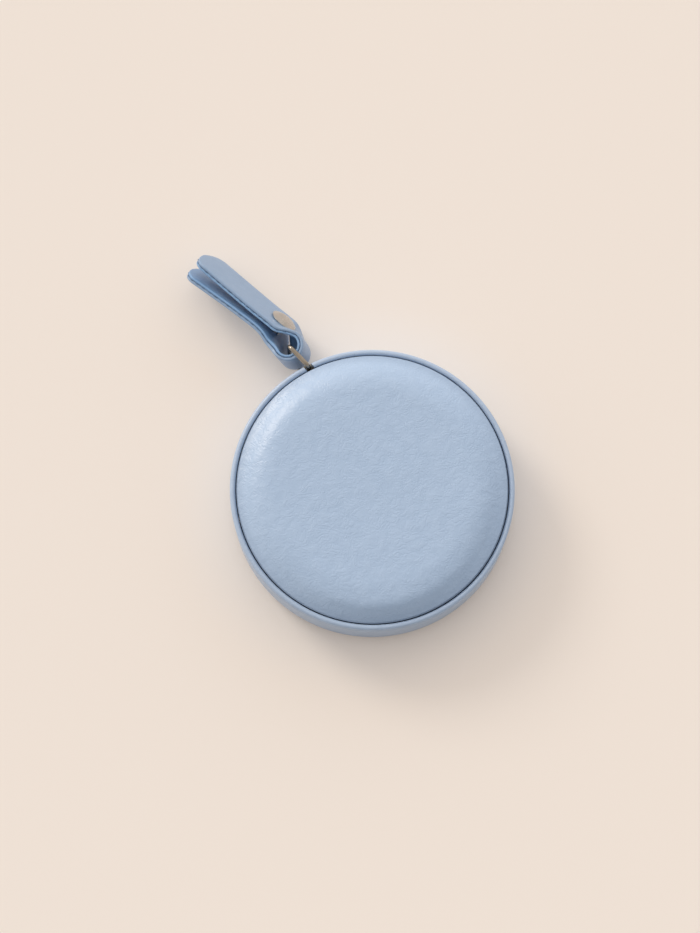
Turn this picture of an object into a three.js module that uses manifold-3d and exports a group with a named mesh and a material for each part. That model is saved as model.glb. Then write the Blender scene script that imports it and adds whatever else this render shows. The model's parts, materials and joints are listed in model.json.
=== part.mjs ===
// Cloth tape measure in a round padded leather case, with a leather pull strap on a wire ring.
// Millimetres, +Z up. The origin is on the axis of the case, in the flat back face it lies on,
// and the tape pulls out along +Y.

import * as THREE from 'three';
import { mergeVertices } from 'three/addons/utils/BufferGeometryUtils.js';
import Module from 'manifold-3d';

const wasm = await Module();
wasm.setup();

// Driving dimensions: the case, from the back to the front
const CASE_RADIUS = 31;            // outside of the leather band
const BACK_LEATHER = 0.9;
const BACK_FOAM = 0.8;
const FLOOR_THICKNESS = 1.2;
const HEADROOM = 0.55;             // over the tape and the reel
const PLATE_THICKNESS = 1.2;
const FLANGE_THICKNESS = 0.6;      // edge of the front plate, which the front cover stands on
const FRONT_FOAM = 2.7;
const FRONT_LEATHER = 0.9;
const SHELL_WALL = 1.3;
const BAND_THICKNESS = 1.1;
const BAND_LIP = 1.5;              // height of the band's rounded lip above the shell wall
const BAND_SKIRT = 0.1;            // how far the band reaches below the shell floor
const GROOVE_WIDTH = 0.45;         // dark line between the front cover and the band
const COVER_SKIRT = 0.9;           // upright edge of the front cover
const COVER_SHOULDER = 8.5;        // width of the padded cover's rounded shoulder
const EDGE_ROUND = 0.6;            // rounded outer corners of the leather
const LOCATING_LIP = 0.8;          // lip of the front plate inside the shell wall
const LIP_WALL = 0.8;

// Driving dimensions: the mouth, the tape and the clip on its end
const MOUTH_X = 8.5;               // the tape leaves the case along this line
const TAPE_WIDTH = 8.2;
const TAPE_THICKNESS = 0.4;
const TAPE_PITCH = 0.86;           // one turn to the next, across the coil
const TAPE_BEND = 0.9;             // length of the bend at the clip
const COIL_ROOM = 1.4;             // from the full coil to the bend
const CLIP_METAL = 0.4;
const CLIP_HEIGHT = 5.5;
const CLIP_CLAMP = 3.6;            // flat stretch that grips the tape
const CLIP_NECK = 1.8;             // from the flat stretch to the centre of its loop
const CLIP_RIVET_RADIUS = 0.5;
const CLIP_RIVET_HEAD = 0.9;
const CLIP_RIVET_HEAD_HEIGHT = 0.3;

// Driving dimensions: the reel, the return spring and the brake button
const AXLE_RADIUS = 2.4;
const AXLE_SQUARE = 4;             // square upper stem, which keeps the button from turning
const RETAINER_HEIGHT = 0.5;       // flange of the axle over the return spring
const SCREW_RADIUS = 1;
const SCREW_DEPTH = 4.5;           // in the axle
const SCREW_HEAD_RADIUS = 2.6;
const SCREW_HEAD_HEIGHT = 0.7;
const WASHER_RADIUS = 6;
const WASHER_HEIGHT = 0.4;
const REEL_FLANGE = 0.8;
const REEL_MARGIN = 1.2;           // flange beyond the full coil
const DRUM_WALL = 1;
const LID_HEIGHT = 0.8;
const POWER_SPRING_HEIGHT = 3.6;
const POWER_SPRING_METAL = 0.25;
const POWER_SPRING_TURNS = 7.5;
const BUTTON_WALL = 1.2;
const BUTTON_TOP = 1.2;
const BUTTON_RISE = 0.7;           // above the front plate, under the foam
const BUTTON_TRAVEL = 1.2;
const BUTTON_FLANGE = 1.1;
const SLEEVE_WALL = 1.1;           // round the corners of the square stem
const PAD_HEIGHT = 0.75;
const PAD_WIDTH = 1.6;
const BUTTON_SPRING_WIRE = 0.6;
const BUTTON_SPRING_ROOM = 0.5;    // each side of the wire
const BUTTON_SPRING_CURLS = 4;

// Driving dimensions: the ring and the strap
const WIRE_DIAMETER = 1;
const RING_LENGTH = 6.2;           // between the centres of its upright bars
const RING_BEND = 1.2;
const RING_ROOM = 0.45;            // between the strap's edges and the ring
const STRAP_WIDTH = 11.2;
const STRAP_LENGTH = 29.4;         // from the centre of the fold to the tips
const STRAP_LEATHER = 0.65;
const STRAP_LINING = 0.55;
const GLUE_LINE = 0.1;
const FOLD_RADIUS = 2.3;           // inside the fold
const FOLD_SLACK = 0.3;            // from the ring's bar to the centre of the fold, along the strap
const FOLD_SHIFT = 0.75;           // and across it: the fold hangs loose to one side
const PINCH_PLACE = 13;            // the leaves are closest here
const RIGHT_GAPS = [2.1, 1.3, -0.1];   // from the middle to the right leaf: rivet, pinch, tip
const LEFT_GAPS = [-0.45, 0.05, 2.85]; // and to the left leaf, which springs away
const TIP_LENGTH = 3.4;            // rounded end of the strap
const TIP_WIDTH = 2.4;             // flat left at its very end
const STRAP_YAW = 0.3;             // degrees: the strap turns a little on its ring
const FOLD_ROLL = 8;               // degrees: the fold stands nearly upright in the ring
const LEAF_ROLL = 29.5;            // degrees: the two leaves lean over
const TWIST_START = -0.3;          // the twist from fold to leaves, from the centre of the fold
const TWIST_END = 3.6;
const STRAP_RIVET_PLACE = 5.5;     // from the centre of the fold
const CAP_RADIUS = 3.1;
const CAP_HEIGHT = 0.9;
const POST_RADIUS = 1;
const BACK_HEAD_RADIUS = 1.9;
const BACK_HEAD_HEIGHT = 0.5;

// Clearances
const FIT = 0.1;                   // glued or pressed together
const RUNNING = 0.25;              // one piece turns or slides by the other
const SEAT = 0.35;                 // a head on soft leather
const BACK_SEAT = 0.8;             // and where the leather bends under it
const FREE = 0.4;                  // loose

const ROUND = 40;
const SMALL_ROUND = 24;
const LEAF_STEPS = 30;

// Levels along the axis
const backFoamZ = BACK_LEATHER;
const floorZ = backFoamZ + BACK_FOAM;
const insideZ = floorZ + FLOOR_THICKNESS;
const washerTopZ = insideZ + WASHER_HEIGHT;
const reelFloorZ = washerTopZ + REEL_FLANGE;
const tapeZ = reelFloorZ + RUNNING;
const tapeTopZ = tapeZ + TAPE_WIDTH;
const pullZ = tapeZ + TAPE_WIDTH / 2;
const powerSpringZ = reelFloorZ + RUNNING;
const powerSpringTopZ = powerSpringZ + POWER_SPRING_HEIGHT;
const retainerZ = powerSpringTopZ + RUNNING;
const retainerTopZ = retainerZ + RETAINER_HEIGHT;
const buttonFlangeZ = powerSpringTopZ + FREE + BUTTON_TRAVEL;
const padZ = buttonFlangeZ + BUTTON_FLANGE;
const padTopZ = padZ + PAD_HEIGHT;
const drumTopZ = padTopZ + FIT;
const lidTopZ = drumTopZ + LID_HEIGHT;
const frontZ = Math.max(lidTopZ, tapeTopZ) + HEADROOM;
const flangeTopZ = frontZ + FLANGE_THICKNESS;
const plateTopZ = frontZ + PLATE_THICKNESS;
const buttonTopZ = plateTopZ + BUTTON_RISE;
const buttonCeilingZ = buttonTopZ - BUTTON_TOP;
const sleeveZ = retainerTopZ + BUTTON_TRAVEL + FREE;
const stemTopZ = buttonCeilingZ - BUTTON_TRAVEL - FREE;
const coverTopZ = plateTopZ + FRONT_FOAM + FIT + FRONT_LEATHER;

// Radii about the axis, from the outside in and then from the axle out
const bandInside = CASE_RADIUS - BAND_THICKNESS;
const shellRadius = bandInside - FIT;
const cavityRadius = shellRadius - SHELL_WALL;
const coverRadius = bandInside - GROOVE_WIDTH;
const coverInside = coverRadius - FRONT_LEATHER;
const plateRadius = coverInside - FIT;
const stemHalf = AXLE_SQUARE / 2;
const sleeveRadius = stemHalf * Math.SQRT2 + RUNNING + SLEEVE_WALL;
const boreRadius = sleeveRadius + BUTTON_SPRING_WIRE + 2 * BUTTON_SPRING_ROOM;
const retainerRadius = boreRadius - FREE;
const buttonRadius = boreRadius + BUTTON_WALL;
const lidInside = buttonRadius + FREE;
const padInside = lidInside + FIT;
const padOutside = padInside + PAD_WIDTH;
const buttonFlangeRadius = padOutside + FIT;
const drumInside = buttonFlangeRadius + FREE;
const drumRadius = drumInside + DRUM_WALL;
const coilStart = drumRadius + RUNNING + TAPE_THICKNESS / 2;

// Builds

function lathe(profile, segments = ROUND) {
  const points = profile.map(([r, z]) => new THREE.Vector2(r, z));
  const open = points[0].x === 0 && points[points.length - 1].x === 0;
  if (!open) points.push(points[0].clone());
  return new THREE.LatheGeometry(points, segments).rotateX(Math.PI / 2);
}

function ring(inside, outside, bottom, top, segments = ROUND) {
  return lathe([[inside, bottom], [outside, bottom], [outside, top], [inside, top]], segments);
}

function disc(radius, bottom, top, segments = ROUND) {
  return lathe([[0, bottom], [radius, bottom], [radius, top], [0, top]], segments);
}

function block(x, y, z) {
  const size = [x, y, z].map(([low, high]) => high - low);
  const middle = [x, y, z].map(([low, high]) => (high + low) / 2);
  return new THREE.BoxGeometry(...size).translate(...middle);
}

function prism(points, bottom, top) {
  const options = { depth: top - bottom, bevelEnabled: false };
  return new THREE.ExtrudeGeometry(new THREE.Shape(points), options).translate(0, 0, bottom);
}

function toSolid(geometry) {
  const plain = geometry.clone();
  plain.deleteAttribute('normal');
  plain.deleteAttribute('uv');
  const merged = mergeVertices(plain, 1e-4);
  return new wasm.Manifold(new wasm.Mesh({
    numProp: 3,
    vertProperties: Float32Array.from(merged.attributes.position.array),
    triVerts: Uint32Array.from(merged.index.array),
  }));
}

function toGeometry(solid) {
  const mesh = solid.getMesh();
  const geometry = new THREE.BufferGeometry();
  geometry.setAttribute('position', new THREE.BufferAttribute(mesh.vertProperties, 3));
  geometry.setIndex(new THREE.BufferAttribute(mesh.triVerts, 1));
  geometry.computeVertexNormals();
  return geometry;
}

function cut(geometry, ...tools) {
  return toGeometry(tools.reduce((solid, tool) => solid.subtract(toSolid(tool)), toSolid(geometry)));
}

function join(geometry, ...others) {
  return toGeometry(others.reduce((solid, other) => solid.add(toSolid(other)), toSolid(geometry)));
}

// The line moved sideways, to its right as it runs.
function offsetLine(points, distance) {
  return points.map((point, i) => {
    const before = points[Math.max(i - 1, 0)];
    const after = points[Math.min(i + 1, points.length - 1)];
    const along = after.clone().sub(before).normalize();
    return new THREE.Vector2(point.x + along.y * distance, point.y - along.x * distance);
  });
}

// A strip on edge: the line thickened between two sideways distances, and raised along Z.
function strip(points, inner, outer, bottom, top) {
  const outline = [...offsetLine(points, outer), ...offsetLine(points, inner).reverse()];
  return prism(outline, bottom, top);
}

function spiral(start, pitch, turns, endAngle, stepsPerTurn = 16) {
  const steps = Math.ceil(turns * stepsPerTurn);
  return Array.from({ length: steps + 1 }, (_, i) => {
    const turned = (turns * i) / steps;
    const radius = start + pitch * turned;
    const angle = endAngle + 2 * Math.PI * (turned - turns);
    return new THREE.Vector2(radius * Math.cos(angle), radius * Math.sin(angle));
  });
}

// A closed loop of round wire in the YZ plane.
function wireLoop(points, radius, sides = 8) {
  const position = [];
  const index = [];
  const count = points.length;
  points.forEach((point, i) => {
    const along = points[(i + 1) % count].clone().sub(points[(i + count - 1) % count]).normalize();
    for (let j = 0; j < sides; j += 1) {
      const turn = (2 * Math.PI * j) / sides;
      const out = radius * Math.cos(turn);
      position.push(radius * Math.sin(turn), point.x + along.y * out, point.y - along.x * out);
      const next = (j + 1) % sides;
      const here = i * sides;
      const ahead = ((i + 1) % count) * sides;
      index.push(here + j, ahead + j, here + next);
      index.push(here + next, ahead + j, ahead + next);
    }
  });
  const geometry = new THREE.BufferGeometry();
  geometry.setAttribute('position', new THREE.Float32BufferAttribute(position, 3));
  geometry.setIndex(index);
  geometry.computeVertexNormals();
  return geometry;
}

class Helix extends THREE.Curve {
  constructor(radius, curls, bottom, top) {
    super();
    Object.assign(this, { radius, curls, bottom, top });
  }

  getPoint(t, target = new THREE.Vector3()) {
    const angle = 2 * Math.PI * this.curls * t;
    const rise = this.bottom + (this.top - this.bottom) * t;
    return target.set(this.radius * Math.cos(angle), this.radius * Math.sin(angle), rise);
  }
}

// Finishes
const leather = new THREE.MeshStandardMaterial({ color: 0xa9bcd2, roughness: 0.5 });
const lining = new THREE.MeshStandardMaterial({ color: 0x93a5ba, roughness: 0.6 });
const foam = new THREE.MeshStandardMaterial({ color: 0xd9d6cc, roughness: 0.95 });
const plastic = new THREE.MeshStandardMaterial({ color: 0x2f3a4d, roughness: 0.5 });
const reelPlastic = new THREE.MeshStandardMaterial({ color: 0xd8d8d4, roughness: 0.45 });
const steel = new THREE.MeshStandardMaterial({ color: 0x9aa0a6, roughness: 0.35, metalness: 1 });
const nickel = new THREE.MeshStandardMaterial({ color: 0xc9c1ad, roughness: 0.25, metalness: 1 });
const rubber = new THREE.MeshStandardMaterial({ color: 0x222222, roughness: 0.9 });
const tapeCloth = new THREE.MeshStandardMaterial({ color: 0xf0ead6, roughness: 0.6 });

const part = new THREE.Group();

function add(name, geometry, material, parent = part) {
  const mesh = new THREE.Mesh(geometry, material);
  mesh.name = name;
  parent.add(mesh);
  return mesh;
}

// The leather case and its plastic shells

function corner(r, z, radius, from, to, steps = 4) {
  return Array.from({ length: steps + 1 }, (_, i) => {
    const angle = THREE.MathUtils.degToRad(from + ((to - from) * i) / steps);
    return [r + radius * Math.cos(angle), z + radius * Math.sin(angle)];
  });
}

// A flat top with a rounded shoulder, from its edge to the axis.
function dome(radius, bottom, height, steps = 10) {
  const shoulder = Array.from({ length: steps + 1 }, (_, i) => {
    const share = i / steps;
    return [radius - COVER_SHOULDER * share, bottom + height * (1 - (1 - share) ** 2)];
  });
  return [...shoulder, [0, bottom + height]];
}

const coverEdgeZ = flangeTopZ + COVER_SKIRT;
add('front_leather', lathe([
  ...dome(coverInside, plateTopZ + FIT, FRONT_FOAM).reverse(),
  [coverInside, flangeTopZ],
  [coverRadius, flangeTopZ],
  ...dome(coverRadius, coverEdgeZ, coverTopZ - coverEdgeZ),
]), leather);

const recessRadius = buttonRadius + FREE;
const recessTopZ = buttonTopZ + RUNNING;
add('front_foam', lathe([
  [0, recessTopZ],
  [recessRadius, recessTopZ],
  [recessRadius, plateTopZ],
  ...dome(plateRadius, plateTopZ, FRONT_FOAM, 5),
]), foam);

// The mouth lets the clip through: its loop, and the heads of its rivet.
const tapeHalf = TAPE_THICKNESS / 2;
const plateX = tapeHalf + FIT / 2 + CLIP_METAL / 2;
const loopInside = WIRE_DIAMETER / 2 + FREE;
const loopOutside = loopInside + CLIP_METAL;
const clipFace = plateX + CLIP_METAL / 2 + FIT;
const clipHead = clipFace + CLIP_RIVET_HEAD_HEIGHT;
const mouthHalf = Math.max(loopOutside, clipHead) + FREE;
const mouthX = [MOUTH_X - mouthHalf, MOUTH_X + mouthHalf];
const mouthY = [0, 2 * CASE_RADIUS];

const lipOutside = cavityRadius - RUNNING;
const buttonHole = buttonRadius + RUNNING;
const frontShell = lathe([
  [buttonHole, frontZ],
  [lipOutside - LIP_WALL, frontZ],
  [lipOutside - LIP_WALL, frontZ - LOCATING_LIP],
  [lipOutside, frontZ - LOCATING_LIP],
  [lipOutside, frontZ],
  [coverRadius - FIT, frontZ],
  [coverRadius - FIT, flangeTopZ],
  [plateRadius, flangeTopZ],
  [plateRadius, plateTopZ],
  [buttonHole, plateTopZ],
]);
add('front_shell', cut(frontShell, block(mouthX, mouthY, [insideZ, frontZ])), plastic);

const screwHole = SCREW_RADIUS + RUNNING;
const backShell = lathe([
  [screwHole, floorZ],
  [shellRadius, floorZ],
  [shellRadius, frontZ],
  [cavityRadius, frontZ],
  [cavityRadius, insideZ],
  [screwHole, insideZ],
]);
add('back_shell', cut(backShell, block(mouthX, mouthY, [insideZ, coverTopZ])), plastic);

const bandBottomZ = floorZ - BAND_SKIRT;
const bandTopZ = frontZ + BAND_LIP;
const lipRadius = BAND_THICKNESS / 2;
const band = lathe([
  [bandInside, bandBottomZ],
  ...corner(CASE_RADIUS - EDGE_ROUND, bandBottomZ + EDGE_ROUND, EDGE_ROUND, -90, 0),
  ...corner(bandInside + lipRadius, bandTopZ - lipRadius, lipRadius, 0, 180, 6),
]);
const slitHalf = WIRE_DIAMETER / 2 + FREE;
const windowReach = CLIP_HEIGHT / 2 + FREE;
add('rim_band', cut(
  band,
  block([MOUTH_X - slitHalf, MOUTH_X + slitHalf], mouthY, [0, coverTopZ]),
  block(mouthX, mouthY, [pullZ - windowReach, pullZ + windowReach]),
), leather);

const backRadius = bandInside - RUNNING;
add('back_leather', lathe([
  [0, 0],
  ...corner(backRadius - EDGE_ROUND, EDGE_ROUND, EDGE_ROUND, -90, 0),
  [backRadius, floorZ],
  [backRadius - BACK_LEATHER, floorZ],
  [backRadius - BACK_LEATHER, backFoamZ],
  [0, backFoamZ],
]), leather);
add('back_foam', ring(SCREW_HEAD_RADIUS + FREE, backRadius - BACK_LEATHER - FIT, backFoamZ, floorZ), foam);

// The fixed axle, with the screw that holds it from the back

const screwHeadZ = floorZ - SCREW_HEAD_HEIGHT;
const screwTopZ = insideZ + SCREW_DEPTH;
add('axle_screw', lathe([
  [0, screwHeadZ],
  [SCREW_HEAD_RADIUS, screwHeadZ],
  [SCREW_HEAD_RADIUS, floorZ],
  [SCREW_RADIUS, floorZ],
  [SCREW_RADIUS, screwTopZ],
  [0, screwTopZ],
], SMALL_ROUND), steel);

const journal = lathe([
  [0, insideZ],
  [AXLE_RADIUS, insideZ],
  [AXLE_RADIUS, retainerZ],
  [retainerRadius, retainerZ],
  [retainerRadius, retainerTopZ],
  [0, retainerTopZ],
], SMALL_ROUND);
const stem = block([-stemHalf, stemHalf], [-stemHalf, stemHalf], [retainerZ, stemTopZ]);
const screwBore = disc(SCREW_RADIUS + FIT, 0, screwTopZ + RUNNING, SMALL_ROUND);
add('axle', cut(join(journal, stem), screwBore), steel);

// The ring's inner bar stands just outside the shell wall, in the slit of the band. The tape
// leaves the full coil along a tangent, and bends at the clip to run along +Y to the ring.

const ringY = Math.sqrt((shellRadius + RUNNING + WIRE_DIAMETER / 2) ** 2 - MOUTH_X ** 2);
const clipEndY = ringY - CLIP_NECK - CLIP_CLAMP;
const bend = new THREE.Vector2(MOUTH_X, clipEndY - TAPE_BEND);
const coilEnd = bend.length() - COIL_ROOM;
const coilTurns = (coilEnd - coilStart) / TAPE_PITCH;
const leaveAngle = bend.angle() - Math.acos(coilEnd / bend.length());

// The reel, its return spring and the wound tape

const axleHole = AXLE_RADIUS + RUNNING;
const reelRadius = coilEnd + tapeHalf + REEL_MARGIN;

add('thrust_washer', ring(axleHole, WASHER_RADIUS, insideZ, washerTopZ, SMALL_ROUND), steel);
add('reel_drum', lathe([
  [axleHole, washerTopZ],
  [reelRadius, washerTopZ],
  [reelRadius, reelFloorZ],
  [drumRadius, reelFloorZ],
  [drumRadius, drumTopZ],
  [drumInside, drumTopZ],
  [drumInside, reelFloorZ],
  [axleHole, reelFloorZ],
]), reelPlastic);
add('reel_lid', ring(lidInside, drumRadius, drumTopZ, lidTopZ), reelPlastic);

const springStart = AXLE_RADIUS + RUNNING + POWER_SPRING_METAL / 2;
const springEnd = drumInside - RUNNING - POWER_SPRING_METAL / 2;
const springPitch = (springEnd - springStart) / POWER_SPRING_TURNS;
const springLine = spiral(springStart, springPitch, POWER_SPRING_TURNS, 0, 12);
const springHalf = POWER_SPRING_METAL / 2;
add('power_spring', strip(springLine, -springHalf, springHalf, powerSpringZ, powerSpringTopZ), steel);

const coilLine = spiral(coilStart, TAPE_PITCH, coilTurns, leaveAngle);
add('tape_coil', strip(coilLine, -tapeHalf, tapeHalf, tapeZ, tapeTopZ), tapeCloth);

// Least gap from each point of a winding to its other turns.
function leastGap(points, thickness, apart) {
  let least = Infinity;
  points.forEach((point, i) => {
    for (let j = i + apart; j < points.length; j += 1) {
      least = Math.min(least, point.distanceTo(points[j]) - thickness);
    }
  });
  return least;
}
const coilLength = Math.PI * coilTurns * (coilStart + coilEnd);
const coilGap = leastGap(coilLine, TAPE_THICKNESS, 8);
console.log(`tape coil: ${coilLength.toFixed(0)} mm in ${coilTurns.toFixed(1)} turns, least gap ${coilGap.toFixed(2)} mm`);

const leaveDirection = new THREE.Vector2(-Math.sin(leaveAngle), Math.cos(leaveAngle));
const leavePoint = coilLine[coilLine.length - 1].clone().addScaledVector(leaveDirection, RUNNING);
const bendStart = bend.clone().addScaledVector(leaveDirection, -2 * TAPE_BEND);
const bendEnd = new THREE.Vector2(MOUTH_X, clipEndY);
const leadLine = [
  leavePoint,
  ...new THREE.QuadraticBezierCurve(bendStart, bend, bendEnd).getPoints(8),
  new THREE.Vector2(MOUTH_X, ringY - CLIP_NECK),
];
const rivetY = ringY - CLIP_NECK - CLIP_CLAMP / 2;
const clipRivetHole = disc(CLIP_RIVET_RADIUS + FIT, -CASE_RADIUS, CASE_RADIUS, 12)
  .rotateY(Math.PI / 2)
  .translate(0, rivetY, pullZ);
add('tape_lead', cut(strip(leadLine, -tapeHalf, tapeHalf, tapeZ, tapeTopZ), clipRivetHole), tapeCloth);

// The folded metal clip on the end of the tape, round the ring's inner bar

const loopRadius = loopInside + CLIP_METAL / 2;
const clipLine = [
  [plateX, -CLIP_NECK - CLIP_CLAMP],
  [plateX, -CLIP_NECK],
  ...corner(0, 0, loopRadius, -30, 210, 12),
  [-plateX, -CLIP_NECK],
  [-plateX, -CLIP_NECK - CLIP_CLAMP],
].map(([x, y]) => new THREE.Vector2(MOUTH_X + x, ringY + y));
const clip = strip(clipLine, -CLIP_METAL / 2, CLIP_METAL / 2, pullZ - CLIP_HEIGHT / 2, pullZ + CLIP_HEIGHT / 2);
add('tape_end_clip', cut(clip, clipRivetHole), nickel);

const clipRivet = add('clip_rivet', lathe([
  [0, -clipHead],
  [CLIP_RIVET_HEAD, -clipHead],
  [CLIP_RIVET_HEAD, -clipFace],
  [CLIP_RIVET_RADIUS, -clipFace],
  [CLIP_RIVET_RADIUS, clipFace],
  [CLIP_RIVET_HEAD, clipFace],
  [CLIP_RIVET_HEAD, clipHead],
  [0, clipHead],
], 12).rotateY(Math.PI / 2), nickel);
clipRivet.position.set(MOUTH_X, rivetY, pullZ);

// The brake button under the padded front: pressing it lets the reel turn

const buttonCup = lathe([
  [0, buttonCeilingZ],
  [boreRadius, buttonCeilingZ],
  [boreRadius, buttonFlangeZ],
  [buttonFlangeRadius, buttonFlangeZ],
  [buttonFlangeRadius, padZ],
  [buttonRadius, padZ],
  ...corner(buttonRadius - EDGE_ROUND, buttonTopZ - EDGE_ROUND, EDGE_ROUND, 0, 90),
  [0, buttonTopZ],
]);
const socketHalf = stemHalf + RUNNING;
const socket = block([-socketHalf, socketHalf], [-socketHalf, socketHalf], [insideZ, buttonCeilingZ]);
const sleeve = disc(sleeveRadius, sleeveZ, (buttonCeilingZ + buttonTopZ) / 2, SMALL_ROUND);
add('press_button', cut(join(buttonCup, sleeve), socket), reelPlastic);

add('brake_pad', ring(padInside, padOutside, padZ, padTopZ), rubber);

const springWireHalf = BUTTON_SPRING_WIRE / 2;
const helix = new Helix(
  (sleeveRadius + boreRadius) / 2,
  BUTTON_SPRING_CURLS,
  retainerTopZ + springWireHalf + FIT,
  buttonCeilingZ - springWireHalf - FIT,
);
const springWire = new THREE.Shape(new THREE.Path().absarc(0, 0, springWireHalf, 0, 2 * Math.PI).getPoints(5));
const springOptions = { extrudePath: helix, steps: 8 * BUTTON_SPRING_CURLS, curveSegments: 1 };
add('button_spring', new THREE.ExtrudeGeometry(springWire, springOptions), steel);

// The wire ring, upright in the mouth

const ringHalf = STRAP_WIDTH / 2 + RING_ROOM + WIRE_DIAMETER / 2;
const bendAway = ringHalf - RING_BEND;
const ringLine = [
  ...corner(RING_LENGTH - RING_BEND, -bendAway, RING_BEND, -90, 0, 5),
  ...corner(RING_LENGTH - RING_BEND, bendAway, RING_BEND, 0, 90, 5),
  ...corner(RING_BEND, bendAway, RING_BEND, 90, 180, 5),
  ...corner(RING_BEND, -bendAway, RING_BEND, 180, 270, 5),
].map(([y, z]) => new THREE.Vector2(y, z));
const pullRing = add('pull_ring', wireLoop(ringLine, WIRE_DIAMETER / 2), nickel);
pullRing.position.set(MOUTH_X, ringY, pullZ);

// The strap: two layers of leather folded round the ring's outer bar and riveted.
// In its own frame +X is across the leaves, +Y runs to the tips and +Z is across its width.

const leafPoints = (side, [rivetGap, pinchGap, tipGap]) => [
  [FOLD_RADIUS, 0],
  [rivetGap, STRAP_RIVET_PLACE],
  [pinchGap, PINCH_PLACE],
  [tipGap, STRAP_LENGTH],
].map(([gap, place]) => new THREE.Vector2(side * gap, place));
const leafLine = (side, gaps) => {
  const curve = new THREE.SplineCurve(leafPoints(side, gaps));
  return Array.from({ length: LEAF_STEPS + 1 }, (_, i) => (
    curve.getPoint((1 - Math.cos((Math.PI * i) / LEAF_STEPS)) / 2)
  ));
};
const foldLine = corner(0, 0, FOLD_RADIUS, 0, -180, 12).map(([x, y]) => new THREE.Vector2(x, y));
const strapLine = [
  ...leafLine(1, RIGHT_GAPS).reverse(),
  ...foldLine.slice(1, -1),
  ...leafLine(-1, LEFT_GAPS),
];

const strapThickness = STRAP_LINING + GLUE_LINE + STRAP_LEATHER;
const tipStart = STRAP_LENGTH - TIP_LENGTH;

function strapHalfWidth(place) {
  const share = Math.min(Math.max((place - tipStart) / TIP_LENGTH, 0), 1);
  const [full, end] = [STRAP_WIDTH / 2, TIP_WIDTH / 2];
  return Math.sqrt(full ** 2 - (full ** 2 - end ** 2) * share ** 2);
}

// The fold stands nearly upright in the ring, and the leaves lean over.
function strapPoint({ x, y }, z) {
  const share = THREE.MathUtils.smoothstep(y, TWIST_START, TWIST_END);
  const roll = THREE.MathUtils.degToRad(FOLD_ROLL + (LEAF_ROLL - FOLD_ROLL) * share);
  const [c, s] = [Math.cos(roll), Math.sin(roll)];
  return [x * c - z * s + FOLD_SHIFT, y + FOLD_SLACK, z * c + x * s];
}

const postHole = disc(POST_RADIUS + FIT, -STRAP_LENGTH, STRAP_LENGTH, 16)
  .rotateY(Math.PI / 2 - THREE.MathUtils.degToRad(LEAF_ROLL))
  .translate(FOLD_SHIFT, STRAP_RIVET_PLACE + FOLD_SLACK, 0);

// One layer of the strap, with four corners at each step along its line.
function strapLayer(inner, outer) {
  const near = offsetLine(strapLine, -inner);
  const far = offsetLine(strapLine, -outer);
  const position = [];
  const index = [];
  strapLine.forEach((point, i) => {
    const half = strapHalfWidth(point.y);
    position.push(...strapPoint(near[i], -half), ...strapPoint(near[i], half));
    position.push(...strapPoint(far[i], half), ...strapPoint(far[i], -half));
    if (i === 0) return;
    for (let j = 0; j < 4; j += 1) {
      const [here, next] = [4 * i + j, 4 * i + ((j + 1) % 4)];
      // Both faces of a layer are split the same way, so that the layers lie close.
      if (j < 2) index.push(here - 4, here, next - 4, here, next, next - 4);
      else index.push(here - 4, here, next, here - 4, next, next - 4);
    }
  });
  const last = 4 * (strapLine.length - 1);
  index.push(0, 1, 2, 0, 2, 3, last, last + 2, last + 1, last, last + 3, last + 2);
  const geometry = new THREE.BufferGeometry();
  geometry.setAttribute('position', new THREE.Float32BufferAttribute(position, 3));
  geometry.setIndex(index);
  return cut(geometry, postHole);
}

// How far the strap tips down until its edge lies on the table.
function restPitch(geometry) {
  const position = geometry.attributes.position;
  let least = Math.PI / 2;
  for (let i = 0; i < position.count; i += 1) {
    const height = pullZ + position.getZ(i) - FIT;
    if (position.getY(i) > STRAP_LENGTH / 2) least = Math.min(least, Math.atan2(height, position.getY(i)));
  }
  return -least;
}

const strap = new THREE.Group();
part.add(strap);
const strapOuter = strapLayer(STRAP_LINING + GLUE_LINE, strapThickness);
add('strap_outer', strapOuter, leather, strap);
add('strap_lining', strapLayer(0, STRAP_LINING), lining, strap);
strap.position.set(MOUTH_X, ringY + RING_LENGTH, pullZ);
strap.rotation.set(restPitch(strapOuter), 0, THREE.MathUtils.degToRad(STRAP_YAW), 'ZYX');

const strapRivet = new THREE.Group();
strap.add(strapRivet);
strapRivet.position.set(FOLD_SHIFT, STRAP_RIVET_PLACE + FOLD_SLACK, 0);
strapRivet.rotation.y = -THREE.MathUtils.degToRad(LEAF_ROLL);

const capX = RIGHT_GAPS[0] + strapThickness + SEAT;
const backX = -LEFT_GAPS[0] - strapThickness - BACK_SEAT;
const capSphere = (CAP_RADIUS ** 2 + CAP_HEIGHT ** 2) / (2 * CAP_HEIGHT);
const capSpread = THREE.MathUtils.radToDeg(Math.asin(CAP_RADIUS / capSphere));
const cap = lathe([
  [0, capX],
  ...corner(0, capX + CAP_HEIGHT - capSphere, capSphere, 90 - capSpread, 90, 6).slice(0, -1),
  [0, capX + CAP_HEIGHT],
], SMALL_ROUND);
add('strap_rivet_cap', cap.rotateY(Math.PI / 2), nickel, strapRivet);
const post = lathe([
  [0, backX - BACK_HEAD_HEIGHT],
  [BACK_HEAD_RADIUS, backX - BACK_HEAD_HEIGHT],
  [BACK_HEAD_RADIUS, backX],
  [POST_RADIUS, backX],
  [POST_RADIUS, capX - FIT],
  [0, capX - FIT],
], SMALL_ROUND);
add('strap_rivet_post', post.rotateY(Math.PI / 2), nickel, strapRivet);

export default part;
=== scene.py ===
"""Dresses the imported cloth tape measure: a round padded leather case with a folded pull strap.

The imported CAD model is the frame. Each sub-assembly is a class: it holds its sizes in millimetres,
builds its meshes where the CAD nodes are, and gives them their finish.
"""

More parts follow.
